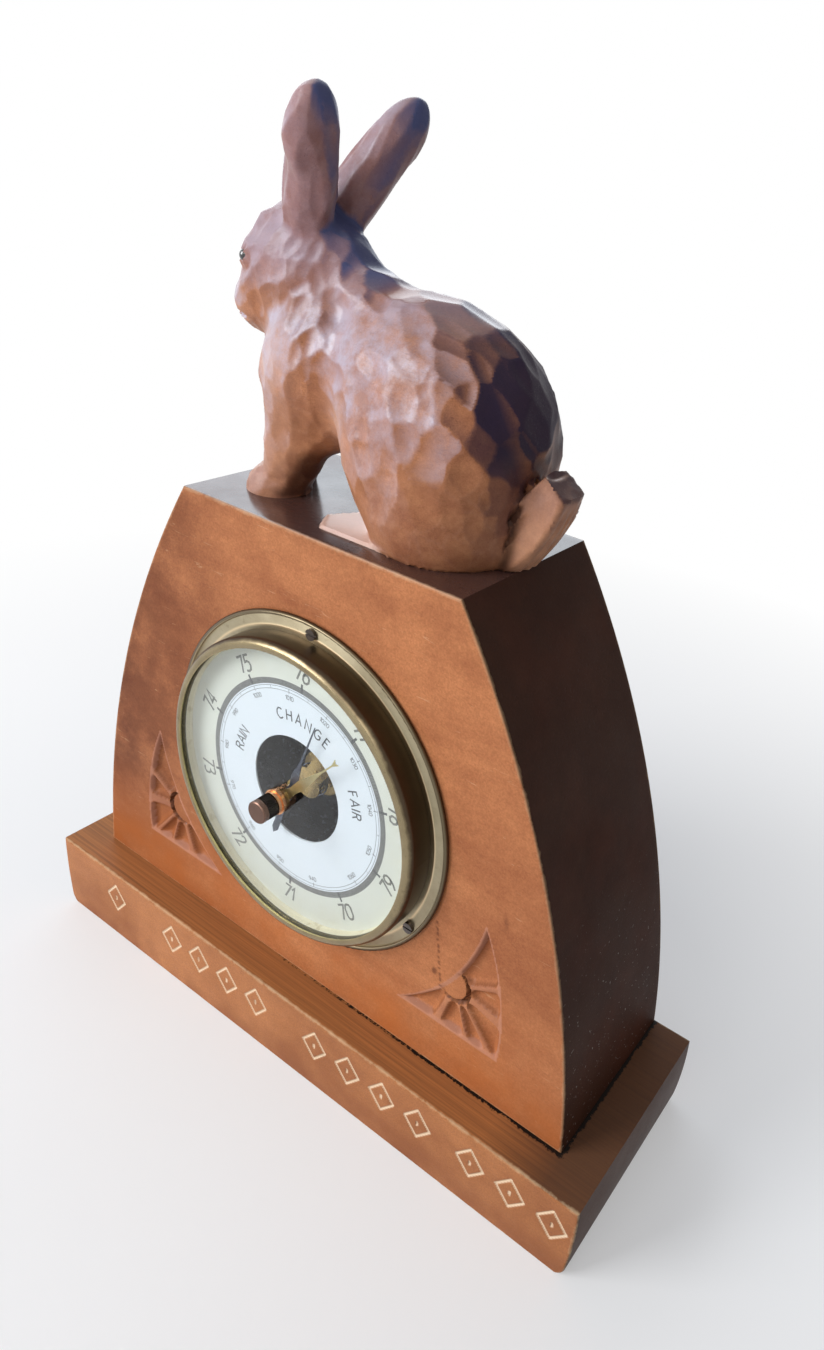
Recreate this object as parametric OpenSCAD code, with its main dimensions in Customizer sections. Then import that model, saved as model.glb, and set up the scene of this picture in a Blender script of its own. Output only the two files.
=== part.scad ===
// Carved table barometer: an aneroid movement in a bowed wooden case, with a carved rabbit on top.
// Millimetres. X runs to the right, Y to the back and Z up, and the dial faces -Y.
// The origin lies under the middle of the whole object, on the surface that it stands on.
// Pieces of the instrument are drawn in the dial frame: its origin is the dial's centre on the
// face of the case, x to the right, y up and z out of the face towards the reader.

/* [Plinth] */
// Width of the plinth along its upper edge
plinth_w = 250; // [240:1:290]
// Height of the plinth
plinth_h = 31; // [24:0.5:45]
// How far the plinth stands out in front of the case
plinth_step = 12; // [5:0.5:20]
// How far each end draws in towards the floor
plinth_draw = 2.2; // [1:0.1:6]
// Bulge of each plinth end
plinth_bow = 0.8; // [0.3:0.1:3]
// Rounding of the lower edge at each end
plinth_round = 4; // [1:0.5:8]

/* [Case] */
// Depth of the case
case_d = 62; // [58:0.5:80]
// Height of the case above the plinth
case_h = 169; // [160:1:200]
// Width of the case at its foot
case_foot_w = 222; // [214:1:236]
// Width of the case at its top
case_top_w = 113; // [100:1:130]
// Bulge of each side, measured square to its chord
case_bow = 11.8; // [6:0.2:18]
// Height of the dial's centre above the plinth
dial_rise = 82.5; // [78:0.5:92]
// Radial room of the pocket round the instrument
pocket_room = 0.5; // [0.2:0.1:1.5]
// Room behind the instrument in its pocket
pocket_spare = 3; // [2:0.5:6]
// Radius of the hole in the back that leads to the adjusting screw
access_r = 5; // [4:0.5:8]

/* [Corner carving] */
// Depth of the carved corner
carve_depth = 1.4; // [0.8:0.1:3]
// Margin between the corner and the plinth
carve_foot = 19.5; // [15:0.5:24]
// Radius round the dial that bounds the corner
carve_dial_r = 76.7; // [70:0.1:80]
// Radius of the arc that bounds the corner on its outer side
carve_side_r = 88.5; // [80:0.5:95]
// Centre of that arc from the dial's centre, for the right corner
carve_side_at = [-4, -53.5];
// Radius of the round boss in each corner
boss_r = 6.1; // [4:0.1:8]
// Distance of the boss from the dial's centre
boss_reach = 79.3; // [76:0.1:84]
// Direction of the boss from the dial's centre, counter-clockwise from the right
carve_dir = -34; // [-38:0.5:-30]
// Directions of the ridges that run out from the boss
ridge_turns = [-108, -56, -12, 28.5];
// Widths of these ridges
ridge_widths = [1.2, 0.9, 1.9, 0.9];
// Depth of the boss and the ridges below the face
ridge_drop = 0.3; // [0.1:0.1:1]

/* [Fixings in the wood] */
// Shank radius of the screws that hold the case to the plinth
foot_screw_r = 2; // [1.5:0.1:3]
// Head radius of these screws
foot_head_r = 4.2; // [3.5:0.1:6]
// Depth of their heads above the floor
foot_sink = 3; // [1:0.5:6]
// How far they enter the case
foot_grip = 18; // [10:1:20]
// Distance of the outer ones from the middle
foot_pitch = 78; // [50:1:84]
// Radius of the dowels under the rabbit
dowel_r = 4; // [3:0.25:5]
// Depth of the dowels in the case
dowel_case = 14; // [8:1:20]
// Depth of the dowels in the rabbit
dowel_rabbit = 10; // [6:1:14]

/* [Flange and bezel] */
// Outer radius of the brass flange
flange_r = 60; // [58.5:0.1:63]
// Thickness of the flange
flange_t = 1; // [0.8:0.1:1.5]
// Radius of the rolled edge round the flange
bead_r = 0.8; // [0.6:0.05:1]
// Outer radius of the spigot that carries the bezel
spigot_r = 52.4; // [51.9:0.1:52.6]
// Wall of the spigot
spigot_wall = 0.8; // [0.6:0.1:1.2]
// How far the spigot reaches behind the flange
spigot_back = 8; // [5:0.5:12]
// Sheet thickness of the bezel
bezel_t = 0.9; // [0.6:0.05:1.2]
// Radius of the bezel's rounded crest
crest_r = 2.4; // [1.9:0.1:2.8]
// Sweep of the crest, from the outer wall over to the lip
crest_sweep = 112; // [95:1:125]
// Snap clearance between the bezel and its spigot
bezel_gap = 0.05; // [0.02:0.01:0.1]
// Radius at which the flange screws sit
flange_screw_pcd_r = 56.4; // [55.8:0.1:57]
// Head radius of the flange screws
flange_head_r = 1.9; // [1.5:0.1:2.2]
// Shank radius of the flange screws
flange_shank_r = 1.1; // [0.8:0.1:1.3]
// Length of the flange screws in the wood
flange_shank_l = 10; // [6:1:14]
// Turn of the first flange screw, clockwise from the top
flange_screw_turn = 3; // [0:1:60]

/* [Glass] */
// Thickness of the glass
glass_t = 1.8; // [1.4:0.1:2.2]
// Rise of the domed glass from its rim to its centre
glass_dome = 3.3; // [2.6:0.1:4.5]
// Clearance between the rim of the glass and the bezel
glass_gap = 0.4; // [0.2:0.05:0.6]
// Thickness of the gasket under the glass
gasket_t = 0.6; // [0.4:0.1:1]
// Width of the gasket
gasket_w = 1.9; // [1.2:0.1:2.2]

/* [Dial] */
// Height of the dial's face above the case
dial_face = 3.6; // [3.2:0.1:4.2]
// Thickness of the dial plate
dial_t = 0.5; // [0.3:0.1:0.8]
// Radius of the open centre of the dial
dial_open_r = 18.8; // [15:0.1:22]
// Clearance round the dial and the spacer ring
dial_gap = 0.15; // [0.05:0.05:0.3]
// Height of the spacer ring between dial and gasket
spacer_h = 2.6; // [2.3:0.1:3.2]
// Wall of the spacer ring
spacer_wall = 1.1; // [0.8:0.1:1.3]

/* [Pan and base] */
// Depth of the pan behind the face of the case
pan_depth = 38; // [37:0.5:42]
// Sheet thickness of the pan
pan_t = 0.7; // [0.5:0.1:1]
// Clearance between pan and spigot
pan_gap = 0.05; // [0.02:0.01:0.1]
// Width of the ledge that carries the dial
ledge_w = 2.4; // [1.5:0.1:4]
// Radius of the base plate
base_r = 38; // [37:0.5:42]
// Thickness of the base plate
base_t = 1.5; // [1.2:0.1:2]

/* [Capsule] */
// Margin between the capsule and the edge of the base plate
capsule_margin = 10.5; // [10:0.5:13]
// Thickness of the capsule between its flat faces
capsule_h = 6.4; // [5:0.2:6.6]
// Sheet thickness of the capsule
capsule_t = 0.5; // [0.4:0.05:0.7]
// Height of its corrugations
wave_h = 0.7; // [0.3:0.1:1]
// Pitch of its corrugations
wave_pitch = 5.5; // [4:0.5:8]
// Width of its soldered rim
rim_w = 2; // [1.5:0.1:3]
// Thickness of the leaf that carries the capsule
leaf_t = 0.8; // [0.6:0.1:1.2]
// Width of the leaf
leaf_w = 9; // [7:0.5:12]
// Room under the leaf
leaf_lift = 1.9; // [1.6:0.1:2.4]
// Margin between the leaf's screw and the edge of the base plate
leaf_margin = 5.5; // [4:0.5:7]
// Direction of the leaf's fixed end, counter-clockwise from the right
leaf_turn = 215; // [200:1:230]

/* [Adjusting screw] */
// Radius of the adjusting screw
adjust_r = 2; // [1.5:0.1:2.5]
// Radius of its head
adjust_head_r = 3.5; // [3:0.1:4]
// Thickness of its head
adjust_head_h = 1.8; // [1.4:0.1:2]
// Wall of the bush that it runs in
bush_wall = 2.4; // [1.5:0.1:3]

/* [Main lever] */
// Margin between the lever's shaft and the edge of the base plate
shaft_margin = 7; // [5.5:0.25:7.5]
// Margin between the lever's tip and the edge of the base plate
tip_margin = 7; // [6:0.5:9]
// Width of the lever
lever_w = 5; // [4:0.25:5.5]
// Thickness of the lever
lever_t = 1.2; // [0.9:0.1:1.5]
// Radius of the lever's shaft
lever_shaft_r = 0.9; // [0.7:0.05:1.1]
// Radius of the hub on the lever's shaft
lever_hub_r = 2.2; // [1.8:0.1:2.5]
// Length of that hub
lever_hub_l = 6.4; // [5:0.2:8]
// Radius of the posts on the lever's underside and tip
lever_pin_r = 0.8; // [0.6:0.1:1.2]

/* [Rocking shaft] */
// Radius of the rocking shaft
rock_r = 0.8; // [0.6:0.05:1]
// Height of the rocking shaft above the lever
rock_lift = 2.6; // [2:0.1:3]
// Length of its short arm
rock_arm = 3; // [2.6:0.1:3.4]
// Thickness of the short arm
rock_arm_t = 1; // [0.8:0.1:1.2]
// Radius of its long arm
rock_finger_r = 0.5; // [0.4:0.05:0.6]
// Thickness of the brackets that carry it
rock_bracket_t = 2; // [1.5:0.1:2.4]
// Width of the brackets that carry it
rock_bracket_w = 4.6; // [4:0.1:5]

/* [Movement] */
// Tooth module of the sector and its pinion
tooth_module = 0.4; // [0.36:0.01:0.42]
// Teeth on the pinion
pinion_teeth = 10; // [10:1:10]
// Teeth that the sector would have on a full circle
sector_teeth = 100; // [100:1:100]
// Pressure angle of the teeth
tooth_angle = 28; // [25:1:28]
// Play between the flanks of two teeth
tooth_play = 0.1; // [0.06:0.01:0.14]
// Direction from the pointer's arbor to the sector's, counter-clockwise from the right
sector_turn = 55; // [52:1:58]
// Thickness of the sector
sector_t = 0.8; // [0.6:0.1:1]
// Distance of the sector's pin from its arbor
tail_l = 8; // [7.5:0.1:8.5]
// Radius of that pin
tail_pin_r = 0.5; // [0.4:0.05:0.6]
// Radius of the arbors
arbor_r = 0.75; // [0.6:0.05:0.85]
// Thickness of the two movement plates
plate_t = 1; // [0.8:0.1:1.2]
// Height of the upper plate's face below the face of the case
plate_sink = 1; // [0.6:0.1:2]
// Room between the movement plates
plate_room = 5.5; // [5.2:0.1:6.5]
// Radius of the pillars between the plates
pillar_r = 1.5; // [1.2:0.1:1.8]
// Radius of the posts that carry the movement
post_r = 2; // [1.7:0.1:2.4]
// Margin between these posts and the edge of the base plate
post_margin = 5; // [4:0.25:6.5]
// Directions of the second and third post, counter-clockwise from the right
side_posts = [15, -15];
// Radius of the lower plate round the pointer's arbor
plate_hub_r = 8; // [7:0.5:9]
// Width of the arms of both plates
plate_arm_w = 7; // [6:0.5:8]
// Width of their narrow arms
plate_slim_w = 5; // [4:0.5:6]
// Places of the first two pillars from the sector's arbor
sector_pillars = [[4.6, 4.6], [8.2, -11.6]];
// Place of the third pillar from the pointer's arbor
hub_pillar = [-6.6, -5];
// Room round the finger and the pin in the lower plate
slot_room = 1.3; // [1:0.1:1.5]

/* [Hairspring] */
// Width of the hairspring's wire
hair_w = 0.25; // [0.15:0.01:0.35]
// Height of the hairspring's wire
hair_h = 0.6; // [0.4:0.05:0.8]
// Pitch of its turns
hair_pitch = 0.9; // [0.75:0.05:1]
// Number of turns
hair_turns = 5; // [3:1:5]
// Radius of the collet that holds its inner end
collet_r = 1.5; // [1.2:0.1:1.6]

/* [Hands and knob] */
// Height of the pointer above the dial's face
pointer_lift = 2.7; // [2.3:0.1:2.9]
// Sheet thickness of both hands
hand_t = 0.3; // [0.2:0.05:0.4]
// Length of the pointer to its tip
pointer_tip = 31.5; // [24:0.5:38]
// Length of the pointer's tail
pointer_tail = 20; // [8:0.5:24]
// Half width of the pointer at its widest
pointer_half_w = 1.6; // [1.3:0.1:2]
// Reading of the pointer, clockwise from the top
pointer_turn = 20.5; // [-40:0.5:80]
// Length of the set hand
set_tip = 32; // [24:0.5:38]
// Half width of the set hand at its hub
set_half_w = 2.1; // [1.9:0.1:2.4]
// Reading of the set hand, clockwise from the top
set_turn = 43.7; // [-60:0.1:90]
// Radius of the set hand's shaft
set_shaft_r = 0.9; // [0.7:0.05:1.1]
// Radius of the bush through the glass
ferrule_bore_r = 2.5; // [1.9:0.1:2.8]
// Radius of the ferrule outside the glass
ferrule_r = 4.3; // [3.6:0.1:5]
// Height of the ferrule
ferrule_h = 2.4; // [1.6:0.1:3]
// Radius of the knob
knob_r = 3.8; // [3.2:0.1:5]
// Length of the knob's grip
knob_grip = 3.6; // [2.5:0.1:5]
// Thickness of the cap on the knob
knob_cap_t = 1.9; // [1.2:0.1:2.5]
// Number of grooves round the grip
knob_grooves = 36; // [20:1:48]

/* [Clearances] */
// Radial running clearance of every arbor and shaft
run_gap = 0.05; // [0.03:0.01:0.08]
// Gap between two pieces that only press on each other
touch_gap = 0.3; // [0.2:0.05:0.4]

/* [Rabbit] */
// Centre of the torso, from the middle of the case's top
torso_at = [17, 0, 40.5];
// Half sizes of the torso
torso_size = [41.5, 24, 30.5];
// Pitch of the torso
torso_turn = 13; // [-10:0.5:25]
// Centre of the right haunch; the left one mirrors it
haunch_at = [22.5, 10.5, 30];
// Half sizes of a haunch
haunch_size = [32, 16.5, 31];
// Pitch of a haunch
haunch_turn = 9; // [-10:0.5:25]
// Centre of the rump
rump_at = [27.5, 0, 11.5];
// Half sizes of the rump
rump_size = [26.8, 27.5, 25.5];
// Centre of the chest
chest_at = [-25, 0, 39];
// Half sizes of the chest
chest_size = [21, 17.7, 28.7];
// Pitch of the chest
chest_turn = 13.5; // [0:0.5:25]
// Centre of the neck
neck_at = [-24, 0, 64];
// Half sizes of the neck
neck_size = [17.6, 12.2, 20.3];
// Centre of the head
head_at = [-35.5, 0, 69];
// Half sizes of the head
head_size = [22, 15, 21];
// Pitch of the head
head_turn = -45.5; // [-60:0.5:-20]
// Centre of the muzzle
muzzle_at = [-50, 0, 58];
// Half sizes of the muzzle
muzzle_size = [9.5, 11.5, 9.9];
// Pitch of the muzzle
muzzle_turn = -34; // [-50:1:-10]
// Centre of the right foreleg
foreleg_at = [-33.3, 9, 21.5];
// Half sizes of a foreleg
foreleg_size = [6.5, 8, 24.5];
// Centre of the right fore paw
paw_at = [-41, 8, 1.5];
// Half sizes of a fore paw
paw_size = [11.5, 8, 7];
// Centre of the right hind foot
foot_at = [8.5, 19, 3.6];
// Half sizes of a hind foot
foot_size = [15.6, 8.6, 4];
// Centre of the right ear's lower half
ear_low_at = [-24.5, 9.2, 93];
// Half sizes of the lower half of an ear
ear_low_size = [8.5, 6.5, 29];
// Centre of the right ear's upper half
ear_top_at = [-17, 16.2, 109];
// Half sizes of the upper half of an ear
ear_top_size = [6.5, 8, 14.8];
// How far the ears lean back
ear_turn = 26.5; // [15:0.5:35]
// How far the ears lean apart
ear_lean = 18; // [10:0.5:25]
// Depth of the hollow in the front of each ear
ear_hollow = 3; // [1:0.25:4]
// Centre of the tail
tail_at = [59, 0, 17.6];
// Half sizes of the tail
tail_size = [5.2, 7.6, 16.7];
// Pitch of the tail
tail_turn = 28.5; // [15:0.5:40]
// Radius of the glass eyes
eye_r = 2.1; // [1.6:0.1:2.8]
// Turn of the eyes round the head, from straight ahead of it
eye_turn = 112.5; // [95:0.5:130]
// Height of the eyes on the head, as an angle
eye_rise = 32.5; // [20:0.5:45]
// Clearance round the eyes and dowels in the carving
wood_gap = 0.15; // [0.05:0.05:0.3]
// Place of the two dowels along the body
dowel_x = [8, 40]; // [0:1:50]
// Facets round each form of the carving
carving_facets = 26; // [20:2:30]

/* [Hidden] */

$fn = 96;
cut = 0.5;
far = 400;

// Heights in the dial frame, from the reader down to the back of the pan.
dial_back = dial_face - dial_t;
spigot_front = dial_face + spacer_h;
spigot_in = spigot_r - spigot_wall;
glass_r = spigot_r + bezel_gap - glass_gap;
glass_under = spigot_front + gasket_t + glass_dome;
glass_over = glass_under + glass_t;
dome_in = (pow(glass_r, 2) + pow(glass_dome, 2)) / (2 * glass_dome);
dome_out = dome_in + glass_t;
bezel_r = spigot_r + bezel_gap + bezel_t;
crest_at = bezel_r - crest_r;
rim_top = glass_over - dome_out + sqrt(pow(dome_out, 2) - pow(glass_r, 2));
lip_clear = 0.05;
crest_up = rim_top + lip_clear
    - sqrt(pow(crest_r - bezel_t, 2) - pow(glass_r - crest_at, 2));
pan_r = spigot_in - pan_gap;
pan_in = pan_r - pan_t;
pan_floor = -pan_depth + pan_t;
base_top = pan_floor + base_t;
pocket_depth = pan_depth + pocket_spare;

leaf_low = base_top + leaf_lift;
leaf_top = leaf_low + leaf_t;
capsule_r = base_r - capsule_margin;
capsule_boss_r = 4;
capsule_boss_h = 0.4;
capsule_low = leaf_top + capsule_boss_h;
capsule_mid = capsule_low + capsule_h / 2;
capsule_top = capsule_low + capsule_h;
rivet_r = 1.5;
stud_foot_r = 3;
stud_foot_h = 0.8;
stud_r = 1.3;
stud_top = capsule_top + capsule_boss_h + 2;

lever_post_h = 0.5;
lever_low = stud_top + touch_gap + lever_post_h;
lever_top = lever_low + lever_t;
lever_mid = (lever_low + lever_top) / 2;
rock_up = lever_top + rock_lift;

plate_top = -plate_sink;
plate_under = plate_top - plate_t;
lower_top = plate_under - plate_room;
lower_under = lower_top - plate_t;
sector_low = lower_top + 1.1;
sector_top = sector_low + sector_t;
finger_up = sector_low - 1.4;
pin_low = finger_up - 0.8;
pinion_low = sector_low - 0.6;
pinion_top = sector_top + 0.6;
hair_low = sector_top + 1.4;
hair_top = hair_low + hair_h;

pointer_low = dial_face + pointer_lift;
pointer_up = pointer_low + hand_t;
boss_low = pointer_low - 0.9;
boss_up = pointer_up + 0.4;
boss_neck_r = arbor_r + 0.35;
boss_shoulder_r = arbor_r + 1.05;
nut_h = 0.85;
nut_low = glass_under - nut_h;
set_hub_h = 0.6;
set_hub_r = 2;
set_up = nut_low - 0.35 - set_hub_h;
set_low = set_up - hand_t;
ferrule_up = glass_over + ferrule_h;
washer_h = 0.3;
knob_low = ferrule_up + washer_h + run_gap * 2;
knob_mid = knob_low + knob_grip;
knob_up = knob_mid + knob_cap_t;

// Screws in the wood and in the brass: shank radius, head radius, height of the head and grip.
foot_head_h = 4;
flange_head_h = 1.1;
pan_screw_r = 1.1;
pan_head_r = 2.2;
pan_head_h = 1.2;
pan_grip = 6;
bracket_screw_r = 1.1;
bracket_head_r = 2;
bracket_head_h = 0.9;
post_screw_r = 1;
post_head_r = 1.8;
post_head_h = 0.9;
post_grip = 4;
pillar_screw_r = 0.8;
pillar_head_r = 1.3;
pillar_head_h = 0.8;
pillar_grip = 3;
screw_room = 0.2;

bracket_foot_t = 1.2;
bracket_t = 1.2;
bracket_w = 5;
ear_room = 0.4;
bush_h = 1.2;
bush_up = base_top + bush_h;
adjust_head_in = pan_floor - touch_gap;

// Places on the object.
whole_d = case_d + knob_up;
face_y = -whole_d / 2 + knob_up;
back_y = face_y + case_d;
mid_y = face_y + case_d / 2;
case_up = plinth_h + case_h;
dial_up = plinth_h + dial_rise;

// Places in the movement, seen from the front.
pinion_r = tooth_module * pinion_teeth / 2;
sector_r = tooth_module * sector_teeth / 2;
addendum = 0.8 * tooth_module;
dedendum = 1.1 * tooth_module;
axle_gap = pinion_r + sector_r;
sector_at = axle_gap * [cos(sector_turn), sin(sector_turn)];
pin_at = sector_at - [0, tail_l];
lever_back = base_r - shaft_margin;
lever_reach = base_r - tip_margin;
rock_x = pin_at.x + tail_pin_r + rock_finger_r + touch_gap;
tip_at = [rock_x + rock_arm, -sqrt(pow(lever_reach, 2) - pow(rock_x + rock_arm, 2))];
lever_dir = tip_at / lever_reach;
lever_turn = atan2(lever_dir.y, lever_dir.x);
root_at = -lever_back * lever_dir;
rock_low_y = tip_at.y - 5.8;
rock_high_y = pin_at.y + 5;
foot_bracket_y = rock_low_y + 0.6;
foot_root = [rock_x + rock_bracket_w, foot_bracket_y + rock_bracket_t / 2];
leaf_root = (base_r - leaf_margin) * [cos(leaf_turn), sin(leaf_turn)];
hanger_y = rock_high_y - rock_bracket_t - 0.6;
post_turns = [sector_turn, side_posts[0], side_posts[1]];
post_at = [for (turn = post_turns) (base_r - post_margin) * [cos(turn), sin(turn)]];
pillar_at = [sector_at + sector_pillars[0], sector_at + sector_pillars[1], hub_pillar];
elbow_at = pillar_at[1] - plate_arm_w * [0.85, 0.85];
stud_pin_r = 0.6;
hair_in = collet_r + hair_w / 2 + 0.05;
hair_out = hair_in + hair_turns * hair_pitch;
hair_end = sector_turn;
hair_pin_at = (hair_out + hair_w / 2 + stud_pin_r + 0.05) * [cos(hair_end), sin(hair_end)];
flange_screw_at = [for (k = [0:2]) let(a = 90 - flange_screw_turn - 120 * k)
    flange_screw_pcd_r * [cos(a), sin(a)]];

// Radius of the arc through the ends of a chord that bulges by bow.
function arc_r(chord, bow) = (chord * chord / 4 + bow * bow) / (2 * bow);

// Centre of the arc that bounds the right side of a bowed block, in X and Z above its foot.
function side_centre(foot_w, top_w, h, bow) =
    let(run = (foot_w - top_w) / 2, chord = sqrt(run * run + h * h), r = arc_r(chord, bow))
    [(foot_w + top_w) / 4, h / 2] + (bow - r) * [h, run] / chord;

// Runs a shape drawn in the dial frame, at the dial's place on the case.
module dial_frame() {
    translate([0, face_y, dial_up]) rotate([90, 0, 0]) children();
}

// Runs a shape drawn on top of the case, from the middle of it.
module top_frame() {
    translate([0, mid_y, case_up]) children();
}

module rod(r, low, high, at = [0, 0]) {
    translate([at.x, at.y, low]) cylinder(r = r, h = high - low);
}

module tube(r_out, r_in, low, high, at = [0, 0]) {
    difference() {
        rod(r_out, low, high, at);
        rod(r_in, low - cut, high + cut, at);
    }
}

// A flat bar with round ends from p to q.
module bar(p, q, w, low, high) {
    run = q - p;
    translate([p.x, p.y, low]) rotate([0, 0, atan2(run.y, run.x)]) {
        translate([0, -w / 2, 0]) cube([norm(run), w, high - low]);
        cylinder(r = w / 2, h = high - low);
        translate([norm(run), 0, 0]) cylinder(r = w / 2, h = high - low);
    }
}

module block(x, y, low, high) {
    translate([x[0], y[0], low]) cube([x[1] - x[0], y[1] - y[0], high - low]);
}

// A cheese-head screw that points down, its head from low to high.
module slot_screw(shank_r, head_r, shank_low, low, high, at = [0, 0], slot_w = 0.5) {
    difference() {
        union() {
            rod(head_r, low, high, at);
            rod(shank_r, shank_low, low + cut / 2, at);
        }
        translate([at.x - far / 2, at.y - slot_w / 2, high - (high - low) / 2])
            cube([far, slot_w, far]);
    }
}

// A block whose two sides bulge outwards by bow, centred on X and running back from y = 0.
module bowed_block(foot_w, top_w, h, d, bow) {
    c = side_centre(foot_w, top_w, h, bow);
    run = (foot_w - top_w) / 2;
    r = arc_r(sqrt(run * run + h * h), bow);
    w = max(foot_w, top_w) + 2 * bow;
    intersection() {
        translate([-w / 2, 0, 0]) cube([w, d, h]);
        side_drum(c, r, d);
        side_drum([-c.x, c.y], r, d);
    }
}

module side_drum(c, r, d) {
    translate([c.x, -cut, c.y]) rotate([-90, 0, 0]) cylinder(r = r, h = d + 2 * cut, $fn = 360);
}

module foot_screw_places() {
    for (x = [-foot_pitch, 0, foot_pitch]) translate([x, mid_y, 0]) children();
}

module plinth() {
    foot_w = plinth_w - 2 * plinth_draw;
    d = case_d + plinth_step;
    color("peru") difference() {
        translate([0, face_y - plinth_step, 0])
            bowed_block(foot_w, plinth_w, plinth_h, d, plinth_bow);
        for (side = [-1, 1]) mirrored(side) translate([foot_w / 2 - plinth_round, 0, 0])
            edge_cutter(plinth_round, plinth_draw + 2 * plinth_bow);
        foot_screw_places() {
            rod(foot_screw_r + screw_room, -cut, plinth_h + cut);
            rod(foot_head_r + screw_room, -cut, foot_sink + foot_head_h);
        }
    }
}

// Mirrors its children to the left where side is -1.
module mirrored(side) {
    if (side > 0) children();
    else mirror([1, 0, 0]) children();
}

// Cuts the lower right edge of the plinth to a quarter round.
module edge_cutter(r, spare) {
    translate([0, -far / 2, 0]) difference() {
        translate([0, 0, -cut]) cube([r + spare, far, r + cut]);
        translate([0, -cut, r]) rotate([-90, 0, 0]) cylinder(r = r, h = far + 2 * cut);
        translate([-cut, -cut, r]) cube([r + spare + 2 * cut, far + 2 * cut, r]);
    }
}

// The sunk ground of the right corner carving, in the dial frame.
module corner_room() {
    difference() {
        intersection() {
            rod(carve_side_r, -carve_depth, cut, carve_side_at);
            block([0, far], [carve_foot - dial_rise, 0], -carve_depth, cut);
        }
        rod(carve_dial_r, -carve_depth - cut, 2 * cut);
    }
}

// The boss and the ridges between the petals that stand in the corner, in the dial frame.
module corner_flower() {
    at = boss_reach * [cos(carve_dir), sin(carve_dir)];
    rod(boss_r, -carve_depth - cut, -ridge_drop, at);
    for (k = [0:len(ridge_turns) - 1]) translate(at) rotate(ridge_turns[k])
        block([0, carve_dial_r], [-ridge_widths[k] / 2, ridge_widths[k] / 2],
            -carve_depth - cut, -ridge_drop);
}

module case_block() {
    color("sienna") difference() {
        translate([0, face_y, plinth_h])
            bowed_block(case_foot_w, case_top_w, case_h, case_d, case_bow);
        for (side = [-1, 1]) mirrored(side) dial_frame() difference() {
            corner_room();
            corner_flower();
        }
        dial_frame() {
            rod(spigot_r + pocket_room, -pocket_depth, cut);
            rod(access_r, -case_d - cut, -pocket_depth + cut);
            for (at = flange_screw_at) rod(flange_shank_r, -flange_shank_l, cut, at);
        }
        foot_screw_places() rod(foot_screw_r, plinth_h - cut, plinth_h + foot_grip);
        top_frame() for (x = dowel_x) rod(dowel_r, -dowel_case, cut, [x, 0]);
    }
}

module foot_screws() {
    color("dimgray") foot_screw_places() difference() {
        union() {
            rod(foot_screw_r, foot_sink, plinth_h + foot_grip);
            rod(foot_head_r, foot_sink, foot_sink + foot_head_h);
        }
        translate([-far / 2, -0.5, -cut]) cube([far, 1, foot_sink + 1.5]);
    }
}

// One rounded form of the carving, mirrored to the left where side is -1.
module form(at, size, turn = 0, lean = 0, side = 1) {
    hull() translate([at.x, side * at.y, at.z]) rotate([-side * lean, turn, 0])
        scale(size) sphere(r = 1, $fn = carving_facets);
}

module rabbit_forms() {
    form(torso_at, torso_size, torso_turn);
    form(rump_at, rump_size);
    form(chest_at, chest_size, chest_turn);
    form(neck_at, neck_size);
    form(head_at, head_size, head_turn);
    form(muzzle_at, muzzle_size, muzzle_turn);
    form(tail_at, tail_size, tail_turn);
    for (side = [-1, 1]) {
        form(haunch_at, haunch_size, haunch_turn, 0, side);
        form(foreleg_at, foreleg_size, 0, 0, side);
        form(paw_at, paw_size, 0, 0, side);
        form(foot_at, foot_size, 0, 0, side);
        difference() {
            union() {
                form(ear_low_at, ear_low_size, ear_turn, ear_lean, side);
                form(ear_top_at, ear_top_size, ear_turn, ear_lean, side);
            }
            form(ear_top_at + [-ear_top_size.x, 1, -2] , [ear_hollow, ear_top_size.y * 0.55,
                ear_top_size.z * 0.9], ear_turn, ear_lean, side);
        }
    }
}

// The eyes lie on the surface of the head, at eye_turn and eye_rise.
module eye_places(r) {
    dir = [cos(eye_rise) * cos(eye_turn), cos(eye_rise) * sin(eye_turn), sin(eye_rise)];
    for (side = [-1, 1]) translate(head_at) rotate([0, head_turn, 0])
        translate([for (k = [0:2]) dir[k] * head_size[k] * (k == 1 ? side : 1)]) sphere(r = r);
}

module rabbit() {
    color("saddlebrown") top_frame() difference() {
        intersection() {
            union() rabbit_forms();
            translate([-far / 2, -far / 2, 0]) cube([far, far, far]);
        }
        eye_places(eye_r + wood_gap, $fn = 24);
        for (x = dowel_x) rod(dowel_r + wood_gap, -cut, dowel_rabbit + wood_gap, [x, 0], $fn = 24);
    }
}

module rabbit_eyes() {
    color("black") top_frame() eye_places(eye_r);
}

module rabbit_dowels() {
    color("burlywood") top_frame() for (x = dowel_x) rod(dowel_r, -dowel_case, dowel_rabbit, [x, 0]);
}

module flange() {
    color("darkkhaki") dial_frame() difference() {
        union() {
            tube(flange_r - bead_r, spigot_in, 0, flange_t);
            tube(spigot_r, spigot_in, -spigot_back, spigot_front);
            translate([0, 0, bead_r]) rotate_extrude() translate([flange_r - bead_r, 0]) circle(bead_r);
        }
        for (at = flange_screw_at) rod(flange_shank_r + screw_room, -cut, flange_t + cut, at);
    }
}

module flange_screws() {
    color("slategray") dial_frame() for (at = flange_screw_at)
        slot_screw(flange_shank_r, flange_head_r, -flange_shank_l, flange_t,
            flange_t + flange_head_h, at);
}

module bezel() {
    in_r = bezel_r - bezel_t;
    color("darkkhaki") dial_frame() {
        tube(bezel_r, in_r, flange_t + 0.05, crest_up);
        translate([0, 0, crest_up]) rotate_extrude() translate([crest_at, 0]) difference() {
            circle(crest_r);
            circle(crest_r - bezel_t);
            translate([-far, -far]) square([2 * far, far]);
            rotate(crest_sweep) square([far, far]);
        }
    }
}

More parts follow.
